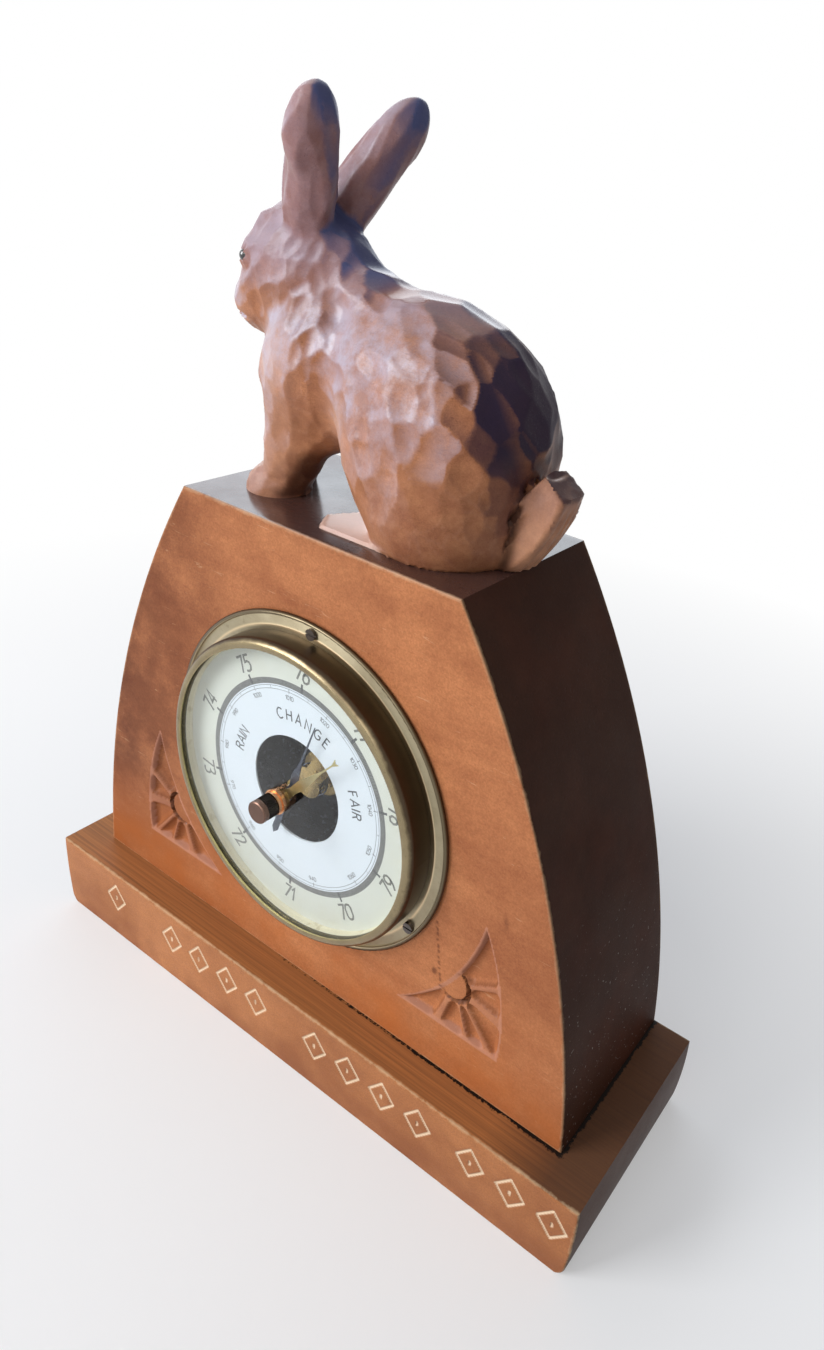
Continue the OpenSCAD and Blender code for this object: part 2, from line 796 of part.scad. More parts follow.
// A shell of a sphere, domed towards the reader, out to radius r.
module dome(r_out, r_in, up, r) {
    rotate_extrude() intersection() {
        difference() {
            translate([0, up - r_out]) circle(r_out, $fn = 2000);
            translate([0, up - r_out]) circle(r_in, $fn = 2000);
        }
        translate([0, up - 3 * glass_dome]) square([r, 6 * glass_dome]);
    }
}

module glass() {
    color("lightcyan", 0.4) dial_frame() difference() {
        dome(dome_out, dome_in, glass_over, glass_r);
        rod(ferrule_bore_r + 0.05, 0, glass_over + cut);
    }
}

module gasket() {
    color("dimgray") dial_frame() tube(spigot_r - 0.1, spigot_r - 0.1 - gasket_w,
        spigot_front, spigot_front + gasket_t);
}

module spacer_ring() {
    r = spigot_in - dial_gap;
    color("ivory") dial_frame() tube(r, r - spacer_wall, dial_face, spigot_front);
}

module dial() {
    color("white") dial_frame() tube(spigot_in - dial_gap, dial_open_r, dial_back, dial_face);
}

module pan() {
    color("darkslategray") dial_frame() difference() {
        union() {
            tube(pan_r, pan_in, -pan_depth, dial_back);
            rod(pan_in + cut / 2, -pan_depth, pan_floor);
            tube(pan_in + cut / 2, pan_in - ledge_w, dial_back - pan_t, dial_back);
        }
        rod(adjust_head_r + 0.8, -pan_depth - cut, pan_floor + cut);
        for (at = post_at) rod(pan_screw_r + screw_room, -pan_depth - cut, pan_floor + cut, at);
    }
}

module pan_screws() {
    color("silver") dial_frame() for (at = post_at) mirror([0, 0, 1])
        slot_screw(pan_screw_r, pan_head_r, -base_top - pan_grip, pan_depth,
            pan_depth + pan_head_h, at);
}

module base_plate() {
    color("dimgray") dial_frame() difference() {
        union() {
            rod(base_r, pan_floor, base_top);
            rod(adjust_r + bush_wall, base_top - cut / 2, bush_up);
        }
        rod(adjust_r + run_gap, pan_floor - cut, bush_up + cut);
        for (at = post_at) rod(pan_screw_r + screw_room, pan_floor - cut, base_top + cut, at);
        for (at = [root_at, leaf_root, foot_root])
            rod(bracket_screw_r, pan_floor - cut, base_top + cut, at);
    }
}

module capsule_leaf() {
    color("goldenrod") dial_frame() difference() {
        union() {
            bar(leaf_root, [0, 0], leaf_w, leaf_low, leaf_top);
            rod(leaf_w / 2 - cut, base_top, leaf_low + leaf_t / 2, leaf_root);
        }
        rod(rivet_r, leaf_low - cut, leaf_top + cut);
        rod(bracket_screw_r, base_top - cut, leaf_top + cut, leaf_root);
    }
}

// The rivet that clamps the capsule to the leaf, its head inside the capsule.
module leaf_rivet() {
    low = capsule_low + capsule_t;
    color("goldenrod") dial_frame() {
        rod(rivet_r, leaf_low, low + cut / 2);
        rod(rivet_r + 1, low, low + 0.5);
    }
}

// Height of the capsule's outer face at radius r: flat under the boss, then waves up to the wall.
function sheet(r) = let(run = r - capsule_boss_r - 1)
    run < 0 ? 0 : wave_h * (1 - cos(360 * run / wave_pitch)) / 2;

// Outline of half the capsule, from its flat face at height 0 up to its rim.
module capsule_half() {
    wall_in = capsule_r - rim_w;
    waves = [for (r = [capsule_boss_r + 1:wave_pitch / 10:wall_in - 1]) r];
    rise = capsule_h / 2;
    rotate_extrude() polygon(concat(
        [[0, 0]],
        [for (r = waves) [r, sheet(r)]],
        [[wall_in, rise - capsule_t], [capsule_r, rise - capsule_t], [capsule_r, rise],
            [wall_in - capsule_t, rise]],
        [for (k = [len(waves) - 1:-1:0]) [waves[k], sheet(waves[k]) + capsule_t]],
        [[0, capsule_t]]));
}

module capsule_back() {
    color("darkslategray") dial_frame() difference() {
        union() {
            translate([0, 0, capsule_low]) capsule_half();
            rod(capsule_boss_r, leaf_top, capsule_low + capsule_t / 2);
        }
        rod(rivet_r, leaf_top - cut, capsule_low + capsule_t + cut);
    }
}

module capsule_front() {
    color("darkslategray") dial_frame() {
        translate([0, 0, capsule_top]) mirror([0, 0, 1]) capsule_half();
        rod(capsule_boss_r, capsule_top - capsule_t / 2, capsule_top + capsule_boss_h);
    }
}

module capsule_stud() {
    low = capsule_top + capsule_boss_h;
    color("goldenrod") dial_frame() {
        rod(stud_foot_r, low, low + stud_foot_h);
        rod(stud_r, low + stud_foot_h / 2, stud_top);
    }
}

module adjusting_screw() {
    color("goldenrod") dial_frame() mirror([0, 0, 1])
        slot_screw(adjust_r, adjust_head_r, -leaf_low + touch_gap, -adjust_head_in,
            -adjust_head_in + adjust_head_h, slot_w = 0.8);
}

// Turns a shape so that its X runs along the lever from root to tip, at the lever's root.
module at_lever_root() {
    translate([root_at.x, root_at.y, 0]) rotate([0, 0, lever_turn]) children();
}

module lever_bracket() {
    ear_in = lever_hub_l / 2 + ear_room;
    ear_out = ear_in + bracket_t;
    half = bracket_w / 2;
    color("goldenrod") dial_frame() difference() {
        at_lever_root() difference() {
            union() {
                block([-half, half], [-ear_out, ear_out], base_top, base_top + bracket_foot_t);
                for (y = [ear_in, -ear_out]) {
                    block([-half, half], [y, y + bracket_t], base_top, lever_mid);
                    translate([0, y, lever_mid]) rotate([-90, 0, 0])
                        cylinder(r = half, h = bracket_t);
                }
            }
            translate([0, -ear_out - cut, lever_mid]) rotate([-90, 0, 0])
                cylinder(r = lever_shaft_r + run_gap, h = 2 * (ear_out + cut));
        }
        rod(bracket_screw_r, base_top - cut, base_top + bracket_foot_t + cut, root_at);
    }
}

module bracket_screws() {
    seats = [[root_at, base_top + bracket_foot_t], [foot_root, base_top + bracket_foot_t],
        [leaf_root, leaf_top]];
    color("silver") dial_frame() for (seat = seats)
        slot_screw(bracket_screw_r, bracket_head_r, pan_floor, seat[1], seat[1] + bracket_head_h,
            seat[0]);
}

module lever_shaft() {
    half = lever_hub_l / 2 + ear_room + bracket_t + ear_room;
    color("silver") dial_frame() at_lever_root() translate([0, -half, lever_mid])
        rotate([-90, 0, 0]) cylinder(r = lever_shaft_r, h = 2 * half);
}

module main_lever() {
    color("goldenrod") dial_frame() {
        difference() {
            union() {
                bar(root_at, tip_at, lever_w, lever_low, lever_top);
                at_lever_root() translate([0, -lever_hub_l / 2, lever_mid]) rotate([-90, 0, 0])
                    cylinder(r = lever_hub_r, h = lever_hub_l);
            }
            at_lever_root() translate([0, -far / 2, lever_mid]) rotate([-90, 0, 0])
                cylinder(r = lever_shaft_r, h = far);
        }
        rod(lever_pin_r, lever_low - lever_post_h, lever_low + lever_t / 2);
        rod(lever_pin_r, lever_top - lever_t / 2, rock_up - rock_arm_t / 2 - touch_gap, tip_at);
    }
}

module rocking_shaft() {
    color("silver") dial_frame() {
        translate([rock_x, rock_low_y, rock_up]) rotate([-90, 0, 0])
            cylinder(r = rock_r, h = rock_high_y - rock_low_y);
        block([rock_x, rock_x + rock_arm + 1], [tip_at.y - 1, tip_at.y + 1],
            rock_up - rock_arm_t / 2, rock_up + rock_arm_t / 2);
        rod(rock_finger_r, rock_up, finger_up, [rock_x, pin_at.y]);
    }
}

// An upright or hanging bracket with the bore for the rocking shaft.
module rock_bracket(y, low, high) {
    half = rock_bracket_w / 2;
    difference() {
        union() {
            block([rock_x - half, rock_x + half], [y, y + rock_bracket_t], low, high);
            translate([rock_x, y, rock_up]) rotate([-90, 0, 0])
                cylinder(r = half, h = rock_bracket_t);
            children();
        }
        translate([rock_x, y - cut, rock_up]) rotate([-90, 0, 0])
            cylinder(r = rock_r + run_gap, h = rock_bracket_t + 2 * cut);
    }
}

module foot_bracket() {
    color("goldenrod") dial_frame() difference() {
        rock_bracket(foot_bracket_y, base_top, rock_up)
            bar([rock_x, foot_root.y], foot_root, 4.6, base_top, base_top + bracket_foot_t);
        rod(bracket_screw_r, base_top - cut, base_top + bracket_foot_t + cut, foot_root);
    }
}

module hanger_bracket() {
    color("goldenrod") dial_frame() rock_bracket(hanger_y, rock_up, lower_under);
}

// The slot through the lower plate for the finger and the pin, with the room that they sweep.
pin_swing = tail_l / 2;
finger_slot = [[pin_at.x - pin_swing - tail_pin_r, rock_x + rock_finger_r + 2 * slot_room],
    [pin_at.y - tail_pin_r - slot_room, pin_at.y + tail_pin_r + 2 * slot_room]];

module lower_plate() {
    low = lower_under;
    high = lower_top;
    shoulder = plate_hub_r * [0.375, 0.375];
    color("goldenrod") dial_frame() difference() {
        union() {
            rod(plate_hub_r, low, high);
            bar(shoulder, sector_at, 2 * plate_hub_r, low, high);
            bar([0, 0], pillar_at[2], plate_slim_w, low, high);
            bar(sector_at, post_at[0], plate_arm_w, low, high);
            bar(sector_at, pillar_at[1], plate_arm_w, low, high);
            bar(pillar_at[1], post_at[1], plate_arm_w, low, high);
            bar(elbow_at, post_at[2], plate_arm_w, low, high);
            bar(elbow_at, pillar_at[1], plate_arm_w, low, high);
        }
        rod(arbor_r + run_gap, low - cut, high + cut);
        rod(arbor_r + run_gap, low - cut, high + cut, sector_at);
        for (at = post_at) rod(post_screw_r + screw_room, low - cut, high + cut, at);
        block(finger_slot[0], finger_slot[1], low - cut, high + cut);
    }
}

module movement_posts() {
    color("goldenrod") dial_frame() for (at = post_at) difference() {
        rod(post_r, base_top, lower_under, at);
        rod(pan_screw_r, base_top - cut, base_top + pan_grip, at);
        rod(post_screw_r, lower_under - post_grip, lower_under + cut, at);
    }
}

module post_screws() {
    color("silver") dial_frame() for (at = post_at)
        slot_screw(post_screw_r, post_head_r, lower_under - post_grip, lower_top,
            lower_top + post_head_h, at);
}

module upper_plate() {
    low = plate_under;
    high = plate_top;
    color("goldenrod") dial_frame() difference() {
        union() {
            rod(0.7 * plate_hub_r, low, high);
            bar([0, 0], sector_at, plate_arm_w, low, high);
            bar(sector_at, pillar_at[0], plate_slim_w + 1, low, high);
            bar(sector_at, pillar_at[1], plate_slim_w, low, high);
            bar([0, 0], pillar_at[2], plate_slim_w, low, high);
        }
        rod(arbor_r + run_gap, low - cut, high + cut);
        rod(arbor_r + run_gap, low - cut, high + cut, sector_at);
        rod(stud_pin_r, low - cut, high + cut, hair_pin_at);
        for (at = pillar_at) rod(pillar_screw_r + screw_room / 2, low - cut, high + cut, at);
    }
}

module plate_pillars() {
    color("goldenrod") dial_frame() for (at = pillar_at) difference() {
        rod(pillar_r, lower_top, plate_under, at);
        rod(pillar_screw_r, plate_under - pillar_grip, plate_under + cut, at);
    }
}

module pillar_screws() {
    color("silver") dial_frame() for (at = pillar_at)
        slot_screw(pillar_screw_r, pillar_head_r, plate_under - pillar_grip, plate_top,
            plate_top + pillar_head_h, at, 0.4);
}

function to_deg(x) = x * 180 / PI;
function roll(r, base_r) = let(a = acos(base_r / r)) to_deg(tan(a)) - a;

// Half the angle that a tooth covers at radius r.
function half_tooth(teeth, r) =
    let(pitch_r = tooth_module * teeth / 2, base_r = pitch_r * cos(tooth_angle))
    90 / teeth - to_deg(tooth_play / (4 * pitch_r)) + roll(pitch_r, base_r)
        - roll(max(r, base_r), base_r);

// Points of one tooth whose middle lies at angle turn, from its right root to its left root.
function tooth(teeth, turn) =
    let(pitch_r = tooth_module * teeth / 2, low = pitch_r - dedendum, high = pitch_r + addendum,
        steps = [for (k = [0:3]) low + (high - low) * k / 3])
    concat(
        [for (r = steps) r * [cos(turn - half_tooth(teeth, r)), sin(turn - half_tooth(teeth, r))]],
        [for (k = [3:-1:0]) let(r = steps[k])
            r * [cos(turn + half_tooth(teeth, r)), sin(turn + half_tooth(teeth, r))]]);

module pointer_arbor() {
    color("silver") dial_frame() {
        rod(arbor_r, lower_under - 0.3, boss_up);
        translate([0, 0, pinion_low]) linear_extrude(pinion_top - pinion_low) polygon(
            [for (k = [0:pinion_teeth - 1])
                each tooth(pinion_teeth, sector_turn + 360 * k / pinion_teeth)]);
    }
}

module sector() {
    pitch = 360 / sector_teeth;
    first = -4;
    last = 7;
    rim_in = sector_r - 3;
    back = sector_turn + 180;
    color("goldenrod") dial_frame() difference() {
        union() {
            translate([sector_at.x, sector_at.y, sector_low]) linear_extrude(sector_t) polygon(concat(
                [for (k = [first:last]) each tooth(sector_teeth, back + (k + 0.5) * pitch)],
                [for (k = [last + 1:-1:first])
                    rim_in * [cos(back + k * pitch), sin(back + k * pitch)]]));
            rod(3, sector_low, sector_top, sector_at);
            for (k = [first + 1, last]) bar(sector_at,
                sector_at + (rim_in + 1) * [cos(back + k * pitch), sin(back + k * pitch)],
                2, sector_low, sector_top);
            bar(sector_at, pin_at, 2.6, sector_low, sector_top);
        }
        rod(arbor_r, sector_low - cut, sector_top + cut, sector_at);
        rod(tail_pin_r, sector_low - cut, sector_top + cut, pin_at);
    }
}

module sector_arbor() {
    color("silver") dial_frame() rod(arbor_r, lower_under - 0.3, plate_top + 0.3, sector_at);
}

module sector_pin() {
    color("silver") dial_frame() rod(tail_pin_r, pin_low, sector_top, pin_at);
}

module hairspring_collet() {
    color("goldenrod") dial_frame() tube(collet_r, arbor_r, hair_low - 0.4, hair_top + 0.4);
}

// Turn and radius along the hairspring, from its inner end to its outer end.
function hair_r(turns) = hair_in + hair_pitch * turns;
hair_rings = 24;
hair_steps = hair_turns * hair_rings;
hair_points = [for (k = [0:hair_steps])
    let(turns = k / hair_rings, a = hair_end + 360 * (turns - hair_turns))
    hair_r(turns) * [cos(a), sin(a)]];

// Least gap between a point of the spring and every point at least half a turn further on.
hair_gap = min([for (k = [0:hair_steps], j = [k + hair_rings / 2:hair_steps])
    norm(hair_points[j] - hair_points[k])]) - hair_w;
echo(hairspring_least_gap = hair_gap);

module hairspring() {
    n = len(hair_points);
    side = [[-1, 0], [1, 0], [1, 1], [-1, 1]];
    points = [for (p = hair_points, c = side)
        concat(p * (1 + c.x * hair_w / 2 / norm(p)), hair_low + c.y * hair_h)];
    walls = [for (k = [0:n - 2], j = [0:3]) let(a = 4 * k + j, b = 4 * k + (j + 1) % 4)
        each [[a, b, b + 4], [a, b + 4, a + 4]]];
    last = 4 * (n - 1);
    color("steelblue") dial_frame() polyhedron(points, concat(walls,
        [[0, 3, 2], [0, 2, 1], [last, last + 1, last + 2], [last, last + 2, last + 3]]));
}

module hairspring_stud() {
    color("goldenrod") dial_frame() rod(stud_pin_r, hair_low - 0.3, plate_top + 0.3, hair_pin_at);
}

// Turns a hand, drawn along X, to a reading clockwise from the top.
module reading(turn) {
    rotate([0, 0, 90 - turn]) children();
}

module pointer_boss() {
    color("goldenrod") dial_frame() {
        tube(boss_shoulder_r, arbor_r, boss_low, pointer_low);
        tube(boss_neck_r, arbor_r, pointer_low - cut / 2, boss_up);
    }
}

// Half the outline of a hand along X. Each row gives the place along the hand as a share of its
// length ahead, or of its tail where that is negative, and the half width as a share of w.
function hand_half(rows, ahead, tail, w) =
    [for (row = rows) [row[0] * (row[0] < 0 ? tail : ahead), row[1] * w]];

// A flat hand with the two halves of its outline mirrored in X.
module hand_blade(half, low) {
    last = len(half) - 1;
    translate([0, 0, low]) linear_extrude(hand_t) polygon(concat(half,
        [for (k = [last:-1:0]) if (half[k].y > 0) [half[k].x, -half[k].y]]));
}

// The pointer: a thin needle that swells to a blade near the hub, with a flat pointed tail.
module pointer() {
    rows = [[-1, 0], [-0.89, 0.8], [-0.65, 0.75], [-0.2, 0.45], [-0.09, 1], [0.055, 1],
        [0.11, 0.55], [0.25, 1], [0.48, 0.28], [1, 0.07]];
    color("midnightblue") dial_frame() reading(pointer_turn) difference() {
        hand_blade(hand_half(rows, pointer_tip, pointer_tail, pointer_half_w), pointer_low);
        rod(boss_neck_r, pointer_low - cut, pointer_up + cut);
    }
}

// The set hand: a brass blade that tapers to a needle with a small fork at its tip.
module set_hand() {
    rows = [[-1, 0], [-0.7, 0.65], [0, 1], [0.07, 0.8], [0.16, 0.62], [0.34, 0.8], [0.72, 0.14],
        [0.92, 0.12], [1, 0.52], [0.97, 0]];
    color("goldenrod") dial_frame() reading(set_turn) difference() {
        union() {
            hand_blade(hand_half(rows, set_tip, set_hub_r * 1.5, set_half_w), set_low);
            rod(set_hub_r, set_low, set_up + set_hub_h);
        }
        rod(set_shaft_r, set_low - cut, set_up + set_hub_h + cut);
    }
}

module set_shaft() {
    color("goldenrod") dial_frame() rod(set_shaft_r, set_low, knob_mid);
}

module ferrule() {
    color("sandybrown") dial_frame() difference() {
        union() {
            rod(ferrule_bore_r, nut_low, glass_over + cut / 2);
            rod(ferrule_r, glass_over, glass_over + ferrule_h * 0.45);
            rod(ferrule_r - 0.5, glass_over + ferrule_h * 0.4, ferrule_up);
        }
        rod(set_shaft_r + run_gap, nut_low - cut, ferrule_up + cut);
    }
}

module ferrule_nut() {
    color("goldenrod") dial_frame() difference() {
        rod(ferrule_r - 0.5, nut_low, glass_under - run_gap, $fn = 6);
        rod(ferrule_bore_r, nut_low - cut, glass_under + cut);
    }
}

module friction_washer() {
    color("silver") dial_frame() tube(set_shaft_r + 1.3, set_shaft_r, ferrule_up + run_gap,
        ferrule_up + run_gap + washer_h);
}

// The grip, with a groove between each pair of its ribs.
module set_knob() {
    color("black") dial_frame() difference() {
        translate([0, 0, knob_low]) linear_extrude(knob_grip) polygon(
            [for (k = [0:2 * knob_grooves - 1]) let(a = 180 * k / knob_grooves)
                (knob_r - (k % 2) * 0.25) * [cos(a), sin(a)]]);
        rod(set_shaft_r, knob_low - cut, knob_mid + cut);
    }
}

module knob_cap() {
    color("sienna") dial_frame() difference() {
        rod(knob_r, knob_mid, knob_up);
        translate([0, 0, knob_up]) rotate_extrude() translate([knob_r, 0]) circle(0.3, $fn = 4);
    }
}

plinth();
case_block();
foot_screws();
rabbit();
rabbit_eyes();
rabbit_dowels();
flange();
flange_screws();
bezel();
glass();
gasket();
spacer_ring();
dial();
pan();
pan_screws();
base_plate();
capsule_leaf();
leaf_rivet();
capsule_back();
capsule_front();
capsule_stud();
adjusting_screw();
lever_bracket();
bracket_screws();
lever_shaft();
main_lever();
rocking_shaft();
foot_bracket();
hanger_bracket();
lower_plate();
movement_posts();
post_screws();
upper_plate();
plate_pillars();
pillar_screws();
sector();
sector_arbor();
sector_pin();
pointer_arbor();
hairspring_collet();
hairspring();
hairspring_stud();
pointer_boss();
pointer();
set_hand();
set_shaft();
ferrule();
ferrule_nut();
friction_washer();
set_knob();
knob_cap();
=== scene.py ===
import bpy
import bmesh
import math
import numpy as np
from contextlib import contextmanager
from mathutils import Matrix, Vector


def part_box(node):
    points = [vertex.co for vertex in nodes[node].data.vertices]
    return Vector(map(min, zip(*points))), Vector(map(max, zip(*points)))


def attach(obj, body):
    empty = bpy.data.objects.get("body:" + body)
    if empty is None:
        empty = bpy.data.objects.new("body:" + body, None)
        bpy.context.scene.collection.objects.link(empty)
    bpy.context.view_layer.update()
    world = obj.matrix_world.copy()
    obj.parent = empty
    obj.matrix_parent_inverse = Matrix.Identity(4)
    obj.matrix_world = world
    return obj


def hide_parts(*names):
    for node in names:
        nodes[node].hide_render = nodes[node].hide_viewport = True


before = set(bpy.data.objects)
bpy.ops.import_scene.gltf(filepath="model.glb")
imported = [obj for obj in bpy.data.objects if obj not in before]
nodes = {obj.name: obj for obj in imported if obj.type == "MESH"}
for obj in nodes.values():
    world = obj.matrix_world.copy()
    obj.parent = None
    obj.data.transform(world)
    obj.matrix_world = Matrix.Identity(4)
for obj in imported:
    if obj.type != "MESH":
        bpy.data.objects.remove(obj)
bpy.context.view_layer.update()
mm = 0.001
rng = np.random.default_rng(7)

# places taken from the frame: the case's face, the dial's centre and the top of the case
caseLow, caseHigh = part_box("case_block")
plinthLow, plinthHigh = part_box("plinth")
bezelLow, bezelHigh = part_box("bezel")
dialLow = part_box("dial")[0]
faceY = caseLow[1]
backY = caseHigh[1]
dialUp = (bezelLow[2] + bezelHigh[2]) / 2
topZ = caseHigh[2]
midY = (faceY + backY) / 2
dialFace = faceY - dialLow[1]  # height of the dial's face above the case


def smooth(low, high, x):
    t = np.clip((x - low) / (high - low), 0, 1)
    return t * t * (3 - 2 * t)

def bell(x, width):
    return np.exp(-(x / width) ** 2)


def unit(rows):
    return rows / np.maximum(np.linalg.norm(rows, axis=1, keepdims=True), 1e-6)


# meshes

def link(name, data):
    obj = bpy.data.objects.new(name, data)
    bpy.context.scene.collection.objects.link(obj)
    return obj


def newMesh(name, points, faces):
    mesh = bpy.data.meshes.new(name)
    mesh.from_pydata(points.tolist(), [], faces)
    return mesh


@contextmanager
def editing(mesh):
    # gives a bmesh and writes it back to the mesh
    work = bmesh.new()
    work.from_mesh(mesh)
    yield work
    work.to_mesh(mesh)
    work.free()


def shade(mesh, angle):
    # smooth, but sharp along edges that turn by more than the angle in degrees
    mesh.shade_smooth()
    mesh.set_sharp_from_angle(angle=math.radians(angle))


def weldedObject(name, points, faces, weld=1e-7):
    # seams and poles are joined and the faces point outward
    mesh = newMesh(name, points, faces)
    with editing(mesh) as work:
        bmesh.ops.remove_doubles(work, verts=work.verts, dist=weld)
        bmesh.ops.recalc_face_normals(work, faces=work.faces)
    shade(mesh, 40)
    return link(name, mesh)


def gridFaces(rows, columns, wrap=False):
    # quads of a grid whose point (i, j) has the number i * columns + j; wrap closes each row to a ring
    i, j = np.meshgrid(np.arange(rows - 1), np.arange(columns if wrap else columns - 1), indexing="ij")
    i, j = i.ravel() * columns, j.ravel()
    after = (j + 1) % columns
    return np.stack([i + j, i + after, i + columns + after, i + columns + j], 1)


def evaluated(obj):
    # the mesh as its modifiers leave it
    depsgraph = bpy.context.evaluated_depsgraph_get()
    return bpy.data.meshes.new_from_object(obj.evaluated_get(depsgraph))


def coordsOf(mesh):
    co = np.empty(len(mesh.vertices) * 3)
    mesh.vertices.foreach_get("co", co)
    return co.reshape(-1, 3)


def putAttribute(mesh, name, values):
    layer = mesh.attributes.new(name, "FLOAT", "POINT")
    layer.data.foreach_set("value", np.asarray(values, float).ravel())


def bored(obj, cutters, sides=96):
    # each cutter (x, z, radius, fromY, toY) is a round hole along Y
    tools = []
    turn = np.linspace(0, 2 * math.pi, sides, endpoint=False)
    caps = [list(range(sides)), list(range(2 * sides - 1, sides - 1, -1))]
    for x, z, radius, start, end in cutters:
        ring = np.stack([x + radius * np.cos(turn), 0 * turn, z + radius * np.sin(turn)], 1)
        points = np.concatenate([ring + [0, start, 0], ring + [0, end, 0]])
        tool = weldedObject("cutter", points, gridFaces(2, sides, wrap=True).tolist() + caps)
        cut = obj.modifiers.new("bore", "BOOLEAN")
        cut.object, cut.operation, cut.solver = tool, "DIFFERENCE", "EXACT"
        tools.append(tool)
    mesh = evaluated(obj)
    obj.modifiers.clear()
    obj.data = mesh
    for tool in tools:
        bpy.data.objects.remove(tool)


# shader helpers

def feed(tree, node, inputs):
    # a socket is linked, and anything else becomes the input's own value
    for key, value in inputs.items():
        if isinstance(value, bpy.types.NodeSocket):
            tree.links.new(value, node.inputs[key])
        else:
            node.inputs[key].default_value = value
    return node


def addNode(tree, kind, inputs={}, **props):
    node = tree.nodes.new("ShaderNode" + kind)
    for key, value in props.items():
        setattr(node, key, value)
    return feed(tree, node, inputs)


def calc(tree, operation, a, b=0.0, clamp=False):
    return addNode(tree, "Math", {0: a, 1: b}, operation=operation, use_clamp=clamp).outputs[0]


def times(tree, a, b, clamp=False):
    return calc(tree, "MULTIPLY", a, b, clamp)


def plus(tree, a, b, clamp=False):
    return calc(tree, "ADD", a, b, clamp)


def minus(tree, a, b):
    return calc(tree, "SUBTRACT", a, b)


def invert(tree, value, clamp=False):
    return calc(tree, "SUBTRACT", 1.0, value, clamp)


def remap(tree, value, low, high, outLow=0.0, outHigh=1.0):
    return addNode(tree, "MapRange", {"Value": value, "From Min": low, "From Max": high,
                                      "To Min": outLow, "To Max": outHigh}).outputs[0]


def noise(tree, vector, scale, detail=5.0, rough=0.55, distortion=0.0):
    return addNode(tree, "TexNoise", {"Vector": vector, "Scale": scale, "Detail": detail,
                                      "Roughness": rough, "Distortion": distortion}).outputs["Fac"]


def stretch(tree, vector, scale):
    return addNode(tree, "Mapping", {"Vector": vector, "Scale": scale}).outputs[0]


def vectorCalc(tree, operation, inputs, out=0):
    return addNode(tree, "VectorMath", inputs, operation=operation).outputs[out]


def split(tree, vector):
    return addNode(tree, "SeparateXYZ", {0: vector}).outputs


def gray(tree, value):
    return addNode(tree, "CombineColor", {0: value, 1: value, 2: value}).outputs[0]


def mixColor(tree, factor, a, b, blend="MIX"):
    node = addNode(tree, "Mix", {0: factor, 6: a, 7: b}, data_type="RGBA", blend_type=blend)
    return node.outputs[2]


def layered(tree, color, *layers):
    # each layer is a mask and the colour that it lays over what is below
    for mask, over in layers:
        color = mixColor(tree, mask, color, over)
    return color


def bump(tree, height, strength, distance):
    return addNode(tree, "Bump", {"Height": height, "Strength": strength,
                                  "Distance": distance}).outputs[0]


def objectCoords(tree):
    return tree.nodes.new("ShaderNodeTexCoord").outputs["Object"]


def surfaceNormal(tree):
    return tree.nodes.new("ShaderNodeNewGeometry").outputs["Normal"]


def attribute(tree, name):
    return addNode(tree, "Attribute", attribute_name=name).outputs["Fac"]


def fromDialAxis(tree):
    # the vector out from the dial's axis, and its length
    away = vectorCalc(tree, "SUBTRACT", {0: objectCoords(tree), 1: (0, 0, dialUp)})
    flat = vectorCalc(tree, "MULTIPLY", {0: away, 1: (1, 0, 1)})
    return flat, vectorCalc(tree, "LENGTH", {0: flat}, "Value")


def newGroup(name, ins, outs):
    # ins are floats, or colours where the value has four numbers
    tree = bpy.data.node_groups.new(name, "ShaderNodeTree")
    for label, value in ins.items():
        kind = "Color" if isinstance(value, tuple) else "Float"
        socket = tree.interface.new_socket(label, in_out="INPUT", socket_type="NodeSocket" + kind)
        socket.default_value = value
    for label in outs:
        kind = "Color" if label == "Color" else "Float"
        tree.interface.new_socket(label, in_out="OUTPUT", socket_type="NodeSocket" + kind)
    return tree, tree.nodes.new("NodeGroupInput").outputs, tree.nodes.new("NodeGroupOutput")


def useGroup(tree, group, inputs):
    node = tree.nodes.new("ShaderNodeGroup")
    node.node_tree = group
    return feed(tree, node, inputs).outputs


def newMaterial(name):
    material = bpy.data.materials.new(name)
    material.use_nodes = True
    tree = material.node_tree
    tree.nodes.clear()
    out = tree.nodes.new("ShaderNodeOutputMaterial")
    shader = tree.nodes.new("ShaderNodeBsdfPrincipled")
    tree.links.new(shader.outputs[0], out.inputs[0])
    return material, tree, shader


def mixOver(tree, shader, factor, other):
    # the other shader is mixed over the material's own
    mix = addNode(tree, "MixShader", {0: factor, 1: shader.outputs[0], 2: other.outputs[0]})
    out = next(n for n in tree.nodes if n.type == "OUTPUT_MATERIAL")
    tree.links.new(mix.outputs[0], out.inputs[0])


def paint(obj, material):
    obj.data.materials.clear()
    obj.data.materials.append(material)
    for piece in obj.data.polygons:
        if piece.material_index:
            piece.material_index = 0


# shared effects

